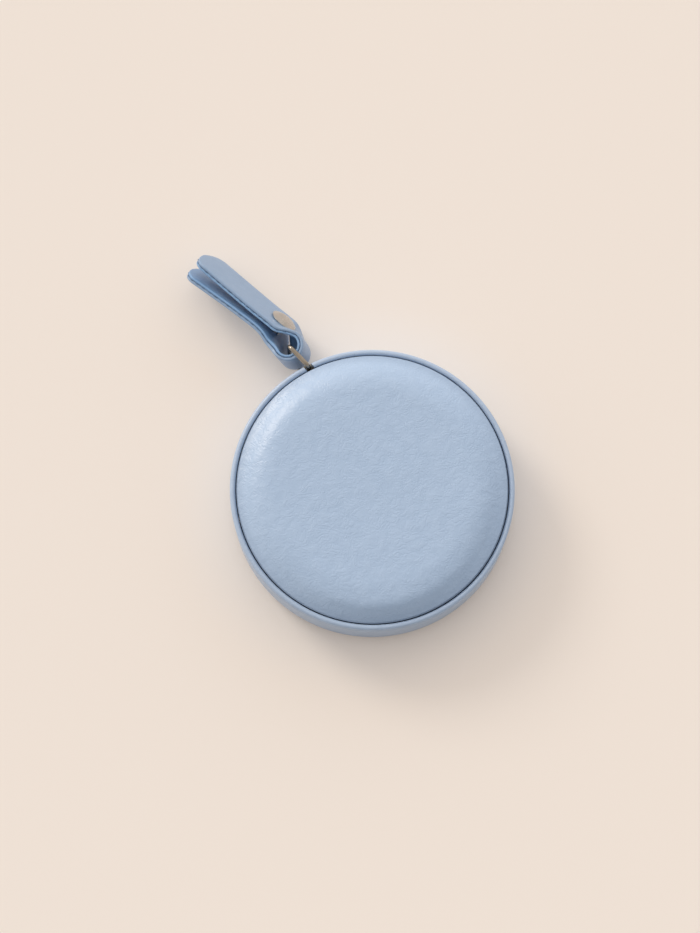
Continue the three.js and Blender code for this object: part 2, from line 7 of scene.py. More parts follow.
import json
import logging
import math
from dataclasses import dataclass, field
from enum import Enum
from functools import partial
from typing import Any, Callable, Optional, Sequence

import bmesh
import bpy
from mathutils import Matrix, Vector, noise

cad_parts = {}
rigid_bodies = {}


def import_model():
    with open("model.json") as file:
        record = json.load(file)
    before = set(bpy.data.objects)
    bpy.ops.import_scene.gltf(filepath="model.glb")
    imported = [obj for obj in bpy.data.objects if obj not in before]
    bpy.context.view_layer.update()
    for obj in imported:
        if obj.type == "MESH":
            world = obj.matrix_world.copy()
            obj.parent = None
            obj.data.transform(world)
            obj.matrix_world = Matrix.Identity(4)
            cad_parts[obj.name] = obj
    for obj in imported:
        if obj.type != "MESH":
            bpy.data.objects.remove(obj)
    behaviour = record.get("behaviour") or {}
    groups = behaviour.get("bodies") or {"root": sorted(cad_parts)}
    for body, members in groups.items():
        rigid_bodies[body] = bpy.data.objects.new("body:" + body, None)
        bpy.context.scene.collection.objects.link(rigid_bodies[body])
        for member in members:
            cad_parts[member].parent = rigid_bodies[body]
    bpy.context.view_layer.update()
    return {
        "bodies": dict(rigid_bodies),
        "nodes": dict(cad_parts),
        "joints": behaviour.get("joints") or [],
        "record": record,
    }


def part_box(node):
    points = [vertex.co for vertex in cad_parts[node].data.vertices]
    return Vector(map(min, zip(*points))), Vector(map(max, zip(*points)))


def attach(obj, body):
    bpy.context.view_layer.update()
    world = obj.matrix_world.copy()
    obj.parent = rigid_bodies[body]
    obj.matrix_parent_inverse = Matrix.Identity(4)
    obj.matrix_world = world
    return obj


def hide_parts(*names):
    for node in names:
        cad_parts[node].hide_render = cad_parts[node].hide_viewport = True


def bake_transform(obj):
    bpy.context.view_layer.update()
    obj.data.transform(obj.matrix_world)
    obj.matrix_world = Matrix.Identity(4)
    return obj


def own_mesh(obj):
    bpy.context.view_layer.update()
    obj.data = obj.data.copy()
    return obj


log = logging.getLogger("tape_measure")

MM = 0.001
PER_MM = 1000.0
WELD_M = 1e-7
ON_AXIS = 1e-6
SHARP_DEG = 50.0
# Numbers of the inputs of a colour mix and of a map between ranges, whose names aren't unique.
SHARE, FIRST, SECOND = 0, 6, 7
FROM_LOW, FROM_HIGH, TO_LOW, TO_HIGH = 1, 2, 3, 4
# Most of a noise's values lie in this range.
MOST_NOISE = {FROM_LOW: 0.3, FROM_HIGH: 0.7}

Flat = tuple[float, float]
Face = tuple[int, ...]
Colour = tuple[float, float, float, float]
Tree = bpy.types.NodeTree
Node = bpy.types.Node
Socket = bpy.types.NodeSocket
Sockets = bpy.types.bpy_prop_collection
Adder = Callable[..., Node]


class Body(Enum):
    """The bodies of the CAD model that new pieces ride on."""

    CASE = "case"
    REEL = "reel"
    TAPE_END = "tape_end"
    RING = "ring"
    STRAP = "strap"


class Slot(Enum):
    """The material slots of the record."""

    CASE_LEATHER = "case_leather"
    STRAP_LEATHER = "strap_leather"
    STRAP_LINING = "strap_lining"
    FOAM = "foam"
    SPRING_STEEL = "spring_steel"
    NICKEL = "nickel"
    TAPE_CLOTH = "tape_cloth"


class MarksAlong(Enum):
    """What the printed marks of the tape are spaced along."""

    PULL = "pull"
    WINDING = "winding"


def linear(hex_colour: str) -> Colour:
    """Turns an sRGB hex value into a linear colour.

    Args:
        hex_colour: the colour, such as "#a0b4cc".

    Returns:
        Red, green, blue and an alpha of 1.
    """
    levels = [int(hex_colour[i : i + 2], 16) / 255 for i in (1, 3, 5)]
    red, green, blue = [x / 12.92 if x <= 0.04045 else ((x + 0.055) / 1.055) ** 2.4 for x in levels]
    return red, green, blue, 1.0


def feed(tree: Tree, node: Node, inputs: dict) -> None:
    """Sets or links a node's inputs.

    Args:
        tree: the tree that the node is in.
        node: the node.
        inputs: for each input's name or number, a value, an output to link from, or a node to link
            from, by the first of its outputs that is in use.
    """
    for name, value in inputs.items():
        if isinstance(value, Node):
            value = next(output for output in value.outputs if output.enabled)
        if isinstance(value, Socket):
            tree.links.new(value, node.inputs[name])
        else:
            node.inputs[name].default_value = value


def add_node(tree: Tree, kind: str, inputs: Optional[dict] = None, **settings: Any) -> Node:
    """Adds a node to a tree, with its settings, values and links.

    Args:
        tree: the tree to add to.
        kind: the node's type name.
        inputs: its values and links, as feed takes them.
        settings: the node's own properties.

    Returns:
        The new node.
    """
    node = tree.nodes.new(kind)
    for name, value in settings.items():
        setattr(node, name, value)
    feed(tree, node, inputs or {})
    return node


def smoothstep(value: float, start: float, end: float) -> float:
    """Returns 0 before start, 1 after end, and a smooth rise between them."""
    share = min(max((value - start) / (end - start), 0.0), 1.0)
    return share * share * (3 - 2 * share)


@dataclass
class Look:
    """What a finish shows: coats of colour over a ground, a gloss, and a relief too fine for the mesh.

    A coat is the share of it that shows, and its colour. Others are further inputs of the shader.
    """

    ground: str
    coats: list[tuple[Any, str]]
    roughness: Any
    relief: Any
    depth_mm: float
    depth_share: float = 1.0
    others: dict[str, float] = field(default_factory=dict)


class Finish:
    """A finish: it makes its material once, and then gives the same one to each piece."""

    name: str

    def material(self) -> bpy.types.Material:
        """Gives the finish's material.

        Returns:
            The material, made the first time that it is asked for.
        """
        made = bpy.data.materials.get(self.name)
        if made is not None:
            return made
        made = bpy.data.materials.new(self.name)
        made.use_nodes = True
        tree = made.node_tree
        add = partial(add_node, tree)
        look = self.look(add, add("ShaderNodeTexCoord").outputs["Object"])
        tint = linear(look.ground)
        for share, colour in look.coats:
            coat = {SHARE: share, FIRST: tint, SECOND: linear(colour)}
            tint = add("ShaderNodeMix", coat, data_type="RGBA")
        depth = {"Distance": look.depth_mm * MM, "Strength": look.depth_share}
        relief = add("ShaderNodeBump", {"Height": look.relief, **depth})
        inputs = {"Base Color": tint, "Roughness": look.roughness, "Normal": relief, **look.others}
        feed(tree, tree.nodes["Principled BSDF"], inputs)
        return made

    def look(self, add: Adder, place: Socket) -> Look:
        """Adds the finish's own nodes.

        Args:
            add: adds a node to the material.
            place: the place in the piece's own space.

        Returns:
            What the finish shows.
        """
        raise NotImplementedError


@dataclass(frozen=True)
class GrainedLeather(Finish):
    """Smooth pigmented leather: a soft sheen, short shallow wrinkles and fine pores.

    Scales are against the wrinkles' size, and the weights of pores and rolls against their depth.
    The seam is a circle of its radius about the piece's Z axis, and there is none if that is 0. Painted
    shade darkens the leather towards the seam, and more on the tuck beyond it.
    """

    name: str
    colour: str
    hollow_colour: str
    wrinkle_mm: float = 0.95
    lie_deg: float = -43.0
    stretch: float = 1.2
    line_width: float = 0.14
    sway_scale: float = 0.25
    sway_reach: float = 2.5
    patch_scale: float = 0.3
    patch_range: Flat = (0.4, 0.7)
    patch_depth: float = 0.5
    pore_mm: float = 0.45
    pore_width: float = 0.5
    pore_weight: float = 0.4
    roll_scale: float = 0.45
    roll_weight: float = 3.2
    height_range: Flat = (1.6, 3.6)
    pale_range: Flat = (0.45, 0.75)
    depth_mm: float = 0.04
    depth_share: float = 0.7
    roughness: float = 0.38
    uneven_gloss: float = 0.04
    specular: float = 0.7
    mottle_mm: float = 9.0
    mottle_weight: float = 0.4
    seam_mm: float = 0.0
    seam_spread_mm: float = 2.0
    seam_shade_share: float = 0.16
    tuck_mm: float = 0.1
    tuck_shade_share: float = 0.35
    seam_shade_colour: str = "#586d89"

    def look(self, add: Adder, place: Socket) -> Look:
        """Lays the grain in the piece's own space, so that it runs over every edge.

        Args:
            add: adds a node to the material.
            place: the place in the piece's own space.

        Returns:
            What the leather shows.
        """
        wrinkle = self.wrinkle_mm * MM
        # The sway turns the wrinkles this way and that, so that no two run side by side for long.
        slow = {"Vector": place, "Scale": self.sway_scale / wrinkle, "Detail": 1.0}
        sway = add("ShaderNodeTexNoise", slow).outputs["Color"]
        swayed = {0: sway, 1: (self.sway_reach * wrinkle,) * 3, 2: place}
        bent = add("ShaderNodeVectorMath", swayed, operation="MULTIPLY_ADD")
        lie = {"Rotation": (0.0, 0.0, math.radians(self.lie_deg)), "Scale": (self.stretch, 1.0, 1.0)}
        drawn = add("ShaderNodeMapping", {"Vector": bent, **lie}, vector_type="TEXTURE")
        waves = add("ShaderNodeTexNoise", {"Vector": drawn, "Scale": 1 / wrinkle, "Detail": 1.5})
        away = add("ShaderNodeMath", {0: waves, 1: 0.5}, operation="SUBTRACT")
        away = add("ShaderNodeMath", {0: away}, operation="ABSOLUTE")
        line = {"Value": away, FROM_HIGH: self.line_width}
        ridge = add("ShaderNodeMapRange", line, interpolation_type="SMOOTHSTEP")
        # Wrinkles are deeper in patches, as where leather has been stretched and bent.
        slow = {"Vector": place, "Scale": self.patch_scale / wrinkle, "Detail": 1.0}
        patch = add("ShaderNodeTexNoise", slow)
        low, high = self.patch_range
        filled = {"Value": patch, FROM_LOW: low, FROM_HIGH: high, TO_HIGH: self.patch_depth}
        patch = add("ShaderNodeMapRange", filled)
        crease = add("ShaderNodeMath", {0: ridge, 1: patch}, operation="MAXIMUM")
        pits = add("ShaderNodeTexVoronoi", {"Vector": bent, "Scale": PER_MM / self.pore_mm})
        hole = {"Value": pits, FROM_HIGH: self.pore_width}
        pit = add("ShaderNodeMapRange", hole, interpolation_type="SMOOTHSTEP")
        height = add("ShaderNodeMath", {0: pit, 1: self.pore_weight, 2: crease}, operation="MULTIPLY_ADD")
        slow = {"Vector": bent, "Scale": self.roll_scale / wrinkle, "Detail": 0.0}
        rolls = add("ShaderNodeTexNoise", slow)
        height = add("ShaderNodeMath", {0: rolls, 1: self.roll_weight, 2: height}, operation="MULTIPLY_ADD")
        # The leather is paler on its heights than in its hollows, and its colour clouds over in places.
        slow = {"Vector": place, "Scale": PER_MM / self.mottle_mm, "Detail": 3.0}
        mottle = add("ShaderNodeTexNoise", slow)
        limits = dict(zip((FROM_LOW, FROM_HIGH, TO_LOW, TO_HIGH), (*self.height_range, *self.pale_range)))
        pale = add("ShaderNodeMapRange", {"Value": height, **limits})
        pale = add("ShaderNodeMath", {0: mottle, 1: self.mottle_weight, 2: pale}, operation="MULTIPLY_ADD")
        dull, shiny = self.roughness + self.uneven_gloss, self.roughness - self.uneven_gloss
        gloss = add("ShaderNodeMapRange", {"Value": mottle, **MOST_NOISE, TO_LOW: dull, TO_HIGH: shiny})
        coats = [(pale, self.colour)]
        # Painted shade at the seam, where the pad's edge meets the groove.
        if self.seam_mm:
            coats.append((self.seam_shade(add, place), self.seam_shade_colour))
        others = {"IOR": 1.5, "Specular IOR Level": self.specular}
        return Look(self.hollow_colour, coats, gloss, height, self.depth_mm, self.depth_share, others)

    def seam_shade(self, add: Adder, place: Socket) -> Node:
        """Paints shade on the leather towards the seam round it, and more on the tuck beyond it.

        Args:
            add: adds a node to the material.
            place: the place in the piece's own space.

        Returns:
            The node of the share of painted shade.
        """
        seam = self.seam_mm * MM
        start, end = seam - self.seam_spread_mm * MM, seam + self.tuck_mm * MM
        level = add("ShaderNodeVectorMath", {0: place, 1: (1.0, 1.0, 0.0)}, operation="MULTIPLY")
        radius = add("ShaderNodeVectorMath", {0: level}, operation="LENGTH")
        near = {"Value": radius, FROM_LOW: start, FROM_HIGH: seam, TO_HIGH: self.seam_shade_share}
        gathered = add("ShaderNodeMapRange", near, interpolation_type="SMOOTHSTEP")
        beyond = {"Value": radius, FROM_LOW: seam, FROM_HIGH: end, TO_HIGH: self.tuck_shade_share}
        tuck_shade = add("ShaderNodeMapRange", beyond)
        return add("ShaderNodeMath", {0: gathered, 1: tuck_shade}, operation="ADD")


@dataclass(frozen=True)
class PlatedMetal(Finish):
    """Nickel-plated or bare steel, drawn or tumbled: fine scratches and cloudy wear in the gloss."""

    name: str
    colour: str
    worn_colour: str
    roughness: float = 0.3
    cloud_mm: float = 1.6
    dulled: float = 0.08
    polished: float = 0.06
    scratch_mm: float = 0.25
    scratch_stretch: float = 0.12
    scratch_depth_mm: float = 0.004
    scratch_share: float = 0.6

    def look(self, add: Adder, place: Socket) -> Look:
        """Lays cloudy wear and scratches, which are coarser than real ones so that they show.

        Args:
            add: adds a node to the material.
            place: the place in the piece's own space.

        Returns:
            What the metal shows.
        """
        cloud = add("ShaderNodeTexNoise", {"Vector": place, "Scale": PER_MM / self.cloud_mm, "Detail": 4.0})
        dull, shiny = self.roughness + self.dulled, self.roughness - self.polished
        gloss = add("ShaderNodeMapRange", {"Value": cloud, **MOST_NOISE, TO_LOW: dull, TO_HIGH: shiny})
        drawn = add("ShaderNodeMapping", {"Vector": place, "Scale": (1.0, self.scratch_stretch, 1.0)})
        fine = {"Vector": drawn, "Scale": PER_MM / self.scratch_mm, "Detail": 2.0}
        scratches = add("ShaderNodeTexNoise", fine)
        coats = [(cloud, self.colour)]
        depth = (self.scratch_depth_mm, self.scratch_share)
        return Look(self.worn_colour, coats, gloss, scratches, *depth, {"Metallic": 1.0})


@dataclass(frozen=True)
class MouldedPlastic(Finish):
    """Moulded ABS or acetal: a satin skin with the fine spark texture of the mould."""

    name: str
    colour: str
    pale_colour: str
    roughness: float = 0.45
    uneven_gloss: float = 0.08
    cloud_mm: float = 7.0
    spark_mm: float = 0.3
    spark_depth_mm: float = 0.012
    spark_share: float = 0.5

    def look(self, add: Adder, place: Socket) -> Look:
        """Lays the mould's texture and a slight cloudiness.

        Args:
            add: adds a node to the material.
            place: the place in the piece's own space.

        Returns:
            What the plastic shows.
        """
        spark = add("ShaderNodeTexNoise", {"Vector": place, "Scale": PER_MM / self.spark_mm, "Detail": 3.0})
        cloud = add("ShaderNodeTexNoise", {"Vector": place, "Scale": PER_MM / self.cloud_mm, "Detail": 2.0})
        shiny, dull = self.roughness - self.uneven_gloss, self.roughness + self.uneven_gloss
        gloss = add("ShaderNodeMapRange", {"Value": spark, TO_LOW: shiny, TO_HIGH: dull})
        coats = [(cloud, self.pale_colour)]
        return Look(self.colour, coats, gloss, spark, self.spark_depth_mm, self.spark_share, {"IOR": 1.5})


@dataclass(frozen=True)
class CellularFoam(Finish):
    """Open polyurethane foam or cast rubber: dull, with small round pores."""

    name: str
    colour: str
    pore_colour: str
    pore_mm: float = 0.5
    pore_wall: Flat = (0.1, 0.5)
    pore_depth_mm: float = 0.15
    pore_share: float = 0.6
    roughness: float = 0.95

    def look(self, add: Adder, place: Socket) -> Look:
        """Lays pores that are darker than the skin between them.

        Args:
            add: adds a node to the material.
            place: the place in the piece's own space.

        Returns:
            What the foam shows.
        """
        pores = add("ShaderNodeTexVoronoi", {"Vector": place, "Scale": PER_MM / self.pore_mm})
        low, high = self.pore_wall
        skin = add("ShaderNodeMapRange", {"Value": pores, FROM_LOW: low, FROM_HIGH: high})
        coats = [(skin, self.colour)]
        return Look(self.pore_colour, coats, self.roughness, skin, self.pore_depth_mm, self.pore_share)


@dataclass(frozen=True)
class PrintedTapeCloth(Finish):
    """Woven glass cloth with a cream coating: a faint weave, and printed marks every millimetre.

    Each kind of mark is a spacing, a length from the tape's lower edge, and a thickness.
    """

    name: str
    marks: MarksAlong
    colour: str = "#efe8d2"
    shade_colour: str = "#ded5bb"
    ink_colour: str = "#26282c"
    thread_mm: float = 0.45
    weave_depth_mm: float = 0.02
    roughness: float = 0.55
    low_edge_mm: float = 4.35
    marks_mm: tuple[tuple[float, float, float], ...] = ((1, 2.2, 0.16), (5, 3.4, 0.2), (10, 5.2, 0.3))

    def look(self, add: Adder, place: Socket) -> Look:
        """Lays the weave, and the marks over it.

        Args:
            add: adds a node to the material.
            place: the place in the piece's own space.

        Returns:
            What the cloth shows.
        """
        axes = add("ShaderNodeSeparateXYZ", {0: place}).outputs
        if self.marks is MarksAlong.PULL:
            along = axes["Y"]
        else:
            along = add("ShaderNodeAttribute", attribute_name=WoundStrip.LENGTH).outputs["Fac"]
        rise = add("ShaderNodeMath", {0: axes["Z"], 1: self.low_edge_mm * MM}, operation="SUBTRACT")
        threads = []
        for way in (along, axes["Z"]):
            count = {0: way, 1: math.tau * PER_MM / self.thread_mm}
            turn = add("ShaderNodeMath", count, operation="MULTIPLY")
            threads.append(add("ShaderNodeMath", {0: turn}, operation="SINE"))
        weave = add("ShaderNodeMath", {0: threads[0], 1: threads[1]}, operation="MULTIPLY")
        shade = add("ShaderNodeMapRange", {"Value": weave, FROM_LOW: -1.0})
        coats = [(shade, self.colour)]
        for every_mm, length_mm, thick_mm in self.marks_mm:
            share = add("ShaderNodeMath", {0: along, 1: every_mm * MM}, operation="DIVIDE")
            share = add("ShaderNodeMath", {0: share}, operation="FRACT")
            line = add("ShaderNodeMath", {0: share, 1: thick_mm / every_mm}, operation="LESS_THAN")
            low = add("ShaderNodeMath", {0: rise, 1: length_mm * MM}, operation="LESS_THAN")
            mark = add("ShaderNodeMath", {0: line, 1: low}, operation="MULTIPLY")
            coats.append((mark, self.ink_colour))
        return Look(self.shade_colour, coats, self.roughness, shade, self.weave_depth_mm)


@dataclass(frozen=True)
class TwistedThread(Finish):
    """Twisted polyester sewing thread: a dull line with slanting strands."""

    name: str
    colour: str
    strand_colour: str
    wave_mm: float = 4.4
    unsteadiness: float = 0.4
    depth_mm: float = 0.03
    depth_share: float = 0.6
    roughness: float = 0.7

    def look(self, add: Adder, place: Socket) -> Look:
        """Lays the strands as slanting bands.

        Args:
            add: adds a node to the material.
            place: the place in the piece's own space.

        Returns:
            What the thread shows.
        """
        wave = {"Vector": place, "Scale": PER_MM / self.wave_mm, "Distortion": self.unsteadiness}
        bands = add("ShaderNodeTexWave", wave, bands_direction="DIAGONAL").outputs["Fac"]
        coats = [(bands, self.colour)]
        return Look(self.strand_colour, coats, self.roughness, bands, self.depth_mm, self.depth_share)


COVER_LEATHER = GrainedLeather("cover_grained_leather", "#abbfd7", "#9db3cd", seam_mm=29.3)
BAND_LEATHER = GrainedLeather("band_smooth_leather", "#abbcd1", "#9cafc7", wrinkle_mm=0.9, depth_mm=0.025)
STRAP_LEATHER = GrainedLeather("strap_smooth_leather", "#8aa1bc", "#7c95b1", wrinkle_mm=0.8, depth_mm=0.02)
LINING_LEATHER = GrainedLeather("strap_lining_leather", "#7fa3c8", "#6d91b7", wrinkle_mm=0.8, depth_mm=0.02)
SEAM_THREAD = TwistedThread("seam_thread", "#647d9f", "#4f6786")
RING_METAL = PlatedMetal("champagne_nickel_wire", "#b6aea2", "#928a7d", roughness=0.26)
RIVET_METAL = PlatedMetal(
    "pewter_nickel_rivet", "#d0cdc9", "#b8b4b0", roughness=0.27, scratch_depth_mm=0.0012
)
CLIP_METAL = PlatedMetal("nickel_plated_sheet", "#b9b4a8", "#8d887e", roughness=0.34)
SPRING_STEEL = PlatedMetal("tempered_spring_steel", "#9aa0a6", "#7c8188", roughness=0.32)
SHELL_PLASTIC = MouldedPlastic("navy_moulded_abs", "#2b384c", "#33425a")
REEL_PLASTIC = MouldedPlastic("white_moulded_acetal", "#d5d5d0", "#e2e2dd", roughness=0.4)
PAD_FOAM = CellularFoam("open_cell_foam", "#d9d5c8", "#b7b19f")
BRAKE_RUBBER = CellularFoam(
    "cast_rubber", "#2a2a2b", "#191919", pore_mm=0.25, pore_depth_mm=0.02, roughness=0.8
)
LEAD_CLOTH = PrintedTapeCloth("tape_cloth_on_pull", MarksAlong.PULL)
COIL_CLOTH = PrintedTapeCloth("tape_cloth_wound", MarksAlong.WINDING)


def add_object(name: str, data: bpy.types.ID) -> bpy.types.Object:
    """Adds an object to the scene.

    Args:
        name: its name.
        data: its mesh, camera or lamp.

    Returns:
        The new object.
    """
    made = bpy.data.objects.new(name, data)
    bpy.context.scene.collection.objects.link(made)
    return made


def smooth(mesh: bpy.types.Mesh) -> None:
    """Shades a mesh smooth, but for its sharp edges."""
    mesh.shade_smooth()
    mesh.set_sharp_from_angle(angle=math.radians(SHARP_DEG))


@dataclass
class Shape:
    """A mesh in the making: points in millimetres, and the faces between them."""

    points: list[Vector] = field(default_factory=list)
    faces: list[Face] = field(default_factory=list)

    def moved(self, place: Matrix) -> "Shape":
        """Returns the shape moved by a matrix, in millimetres."""
        return Shape([place @ point for point in self.points], self.faces)

    def piece(self, name: str, finish: Finish) -> bpy.types.Object:
        """Makes the shape an object at the origin, with its place in its mesh.

        Args:
            name: the piece's name.
            finish: what it is made of.

        Returns:
            The new object.
        """
        mesh = bpy.data.meshes.new(name)
        mesh.from_pydata([point * MM for point in self.points], [], self.faces)
        work = bmesh.new()
        work.from_mesh(mesh)
        bmesh.ops.remove_doubles(work, verts=work.verts, dist=WELD_M)
        bmesh.ops.recalc_face_normals(work, faces=work.faces)
        work.to_mesh(mesh)
        work.free()
        smooth(mesh)
        mesh.materials.append(finish.material())
        return add_object(name, mesh)


def bend_round(
    r: float, z: float, radius: float, start_deg: float, end_deg: float, steps: int
) -> list[Flat]:
    """Gives the points of an arc.

    Args:
        r: the arc's centre, from the axis.
        z: the arc's centre, up the axis.
        radius: its radius.
        start_deg: the angle that it starts at.
        end_deg: the angle that it ends at.
        steps: how many steps it has.

    Returns:
        The points, as distances from the axis and heights.
    """
    turns = [math.radians(start_deg + (end_deg - start_deg) * i / steps) for i in range(steps + 1)]
    return [(r + radius * math.cos(turn), z + radius * math.sin(turn)) for turn in turns]


def crowned(radius: float, low: float, rise: float, power: float, steps: int) -> list[Flat]:
    """Gives the profile of a flat-topped dome, from the axis to its edge, with close steps at the edge.

    Args:
        radius: the dome's radius.
        low: the height of its edge.
        rise: how much higher its middle is.
        power: how flat it is; higher is flatter.
        steps: how many steps it has.

    Returns:
        The points, as distances from the axis and heights.
    """
    shares = [1 - (1 - i / steps) ** 2 for i in range(steps + 1)]
    return [(radius * share, low + rise * math.sqrt(max(1 - share**power, 0.0))) for share in shares]


@dataclass(frozen=True)
class PadLine:
    """How a flat pad falls away at its edge: a bend, then a foot that flares out a little.

    The shoulder's width takes in the foot's. A power of 2 bends as a parabola, and a higher one later.
    The flare is the slope at the very edge, as a share of the slope where the foot starts.
    """

    shoulder: float
    power: float
    foot: float = 0.0
    flare: float = 1.0
    steps: int = 32

    def points(self, radius: float, low: float, high: float) -> list[Flat]:
        """Gives the profile from the axis to the edge.

        Args:
            radius: the pad's radius.
            low: the height of its edge.
            high: the height of its flat top.

        Returns:
            The points, as distances from the axis and heights.
        """
        bend = self.shoulder - self.foot
        steep = self.power * bend ** (self.power - 1)
        scale = (high - low) / (bend**self.power + steep * self.foot * (1 + self.flare) / 2)
        line = [((radius - self.shoulder) * i / self.steps, high) for i in range(self.steps)]
        for i in range(self.steps + 1):
            out = self.shoulder * i / self.steps
            fall = min(out, bend) ** self.power
            if out > bend:
                beyond = out - bend
                fall += steep * (beyond - (1 - self.flare) * beyond**2 / (2 * self.foot))
            line.append((radius - self.shoulder + out, high - scale * fall))
        return line


def loft(rows: Sequence[Sequence[Vector]], looped: bool = False, capped: bool = False) -> Shape:
    """Joins rows of points by faces. Each row runs round, and a row of one point is a pole.

    Args:
        rows: the rows, one after the other.
        looped: whether the last row joins the first.
        capped: whether the first and the last row are filled.

    Returns:
        The shape.
    """
    shape = Shape()
    rings = []
    for row in rows:
        rings.append(range(len(shape.points), len(shape.points) + len(row)))
        shape.points.extend(row)
    for first, second in zip(rings, rings[1:] + rings[:1] if looped else rings[1:]):
        count = max(len(first), len(second))
        for i in range(count):
            j = (i + 1) % count
            corners = [ring[k % len(ring)] for ring, k in ((first, i), (first, j), (second, j), (second, i))]
            face = tuple(dict.fromkeys(corners))
            if len(face) > 2:
                shape.faces.append(face)
    if capped:
        shape.faces.extend((tuple(rings[0]), tuple(rings[-1])))
    return shape


def revolve(profile: Sequence[Flat], segments: int = 160) -> Shape:
    """Turns a profile about the axis: one that starts and ends on the axis, or a loop off it.

    Args:
        profile: distances from the axis and heights.
        segments: how many steps there are round the axis.

    Returns:
        The closed shape.
    """
    turns = [math.tau * i / segments for i in range(segments)]
    rows = []
    for r, z in profile:
        around = turns if r > ON_AXIS else turns[:1]
        rows.append([Vector((r * math.cos(turn), r * math.sin(turn), z)) for turn in around])
    return loft(rows, looped=len(rows[0]) > 1)


def tube(path: Sequence[Vector], radius: float, sides: int, closed: bool) -> Shape:
    """Runs round wire along a path.

    Args:
        path: the points of its middle line.
        radius: the wire's radius.
        sides: how many faces it has round it.
        closed: whether the path is a loop; otherwise its ends are closed.

    Returns:
        The closed shape.
    """
    count = len(path)
    turns = [math.tau * j / sides for j in range(sides)]
    rows = []
    across = None
    for i, point in enumerate(path):
        ahead = path[(i + 1) % count] if closed or i < count - 1 else point
        behind = path[i - 1] if closed or i > 0 else point
        along = (ahead - behind).normalized()
        across = (along.orthogonal() if across is None else across - along * across.dot(along)).normalized()
        other = along.cross(across)
        rows.append([point + radius * (across * math.cos(turn) + other * math.sin(turn)) for turn in turns])
    return loft(rows, looped=closed, capped=not closed)


def heading(line: Sequence[Vector], i: int) -> Vector:
    """Returns the direction of a line at one of its points."""
    return (line[min(i + 1, len(line) - 1)] - line[max(i - 1, 0)]).normalized()


def settle(piece: bpy.types.Object, body: Body, slot: Slot, *replaced: str) -> None:
    """Makes a piece ride on its body, and hides the CAD nodes that it stands for.

    Args:
        piece: the new piece.
        body: the body that it moves with.
        slot: the record's slot for its finish; not used.
        replaced: the CAD nodes that it stands for.
    """
    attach(piece, body.value)
    if replaced:
        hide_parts(*replaced)
    log.info("%s rides on %s, %d faces", piece.name, body.value, len(piece.data.polygons))


def paint_nodes(frame: dict, finish: Finish, *nodes: str) -> None:
    """Gives CAD nodes, whose shapes are kept, a better material.

    Args:
        frame: the loaded frame.
        finish: what they are made of.
        nodes: the nodes' names.
    """
    for node in nodes:
        piece = frame["nodes"][node]
        piece.data.materials.clear()
        piece.data.materials.append(finish.material())
        log.info("%s keeps its CAD shape, in %s", node, finish.name)


class NodeTool:
    """A Geometry Nodes tree with named inputs, which makes a plain mesh."""

    NAME = "tool"
    MEASURES: tuple[str, ...] = ()
    COUNTS: tuple[str, ...] = ()

    def __init__(self) -> None:
        """Builds the tree."""
        self.tree = bpy.data.node_groups.new(self.NAME, "GeometryNodeTree")
        self.sockets: dict[str, str] = {}
        face = self.tree.interface
        face.new_socket("Geometry", in_out="INPUT", socket_type="NodeSocketGeometry")
        kinds = dict.fromkeys(self.MEASURES, "NodeSocketFloat") | dict.fromkeys(self.COUNTS, "NodeSocketInt")
        for name, kind in (*kinds.items(), ("Material", "NodeSocketMaterial")):
            self.sockets[name] = face.new_socket(name, in_out="INPUT", socket_type=kind).identifier
        face.new_socket("Geometry", in_out="OUTPUT", socket_type="NodeSocketGeometry")
        given = add_node(self.tree, "NodeGroupInput").outputs
        real = add_node(self.tree, "GeometryNodeRealizeInstances", {"Geometry": self.grow(given)})
        coat = {"Geometry": real, "Material": given["Material"]}
        painted = add_node(self.tree, "GeometryNodeSetMaterial", coat)
        add_node(self.tree, "NodeGroupOutput", {"Geometry": painted})

    def grow(self, given: Sockets) -> Node:
        """Adds the tree's own nodes.

        Args:
            given: the outputs of the tree's input node.

        Returns:
            The node that carries the result.
        """
        raise NotImplementedError

    def make(self, name: str, path: Sequence[Vector], **values: Any) -> bpy.types.Object:
        """Runs the tree on a path and keeps its result as a plain mesh.

        Args:
            name: the new piece's name.
            path: the points that the tree follows, in millimetres, or none.
            values: the tree's inputs, by name with _ for a space.

        Returns:
            The new object, with no modifier left on it.
        """
        line = bpy.data.meshes.new(name)
        edges = [(i, i + 1) for i in range(len(path) - 1)]
        line.from_pydata([point * MM for point in path], edges, [])
        made = add_object(name, line)
        modifier = made.modifiers.new(self.NAME, "NODES")
        modifier.node_group = self.tree
        for key, value in values.items():
            modifier[self.sockets[key.replace("_", " ")]] = value
        graph = bpy.context.evaluated_depsgraph_get()
        mesh = bpy.data.meshes.new_from_object(made.evaluated_get(graph))
        made.modifiers.clear()
        made.data = mesh
        smooth(mesh)
        return made


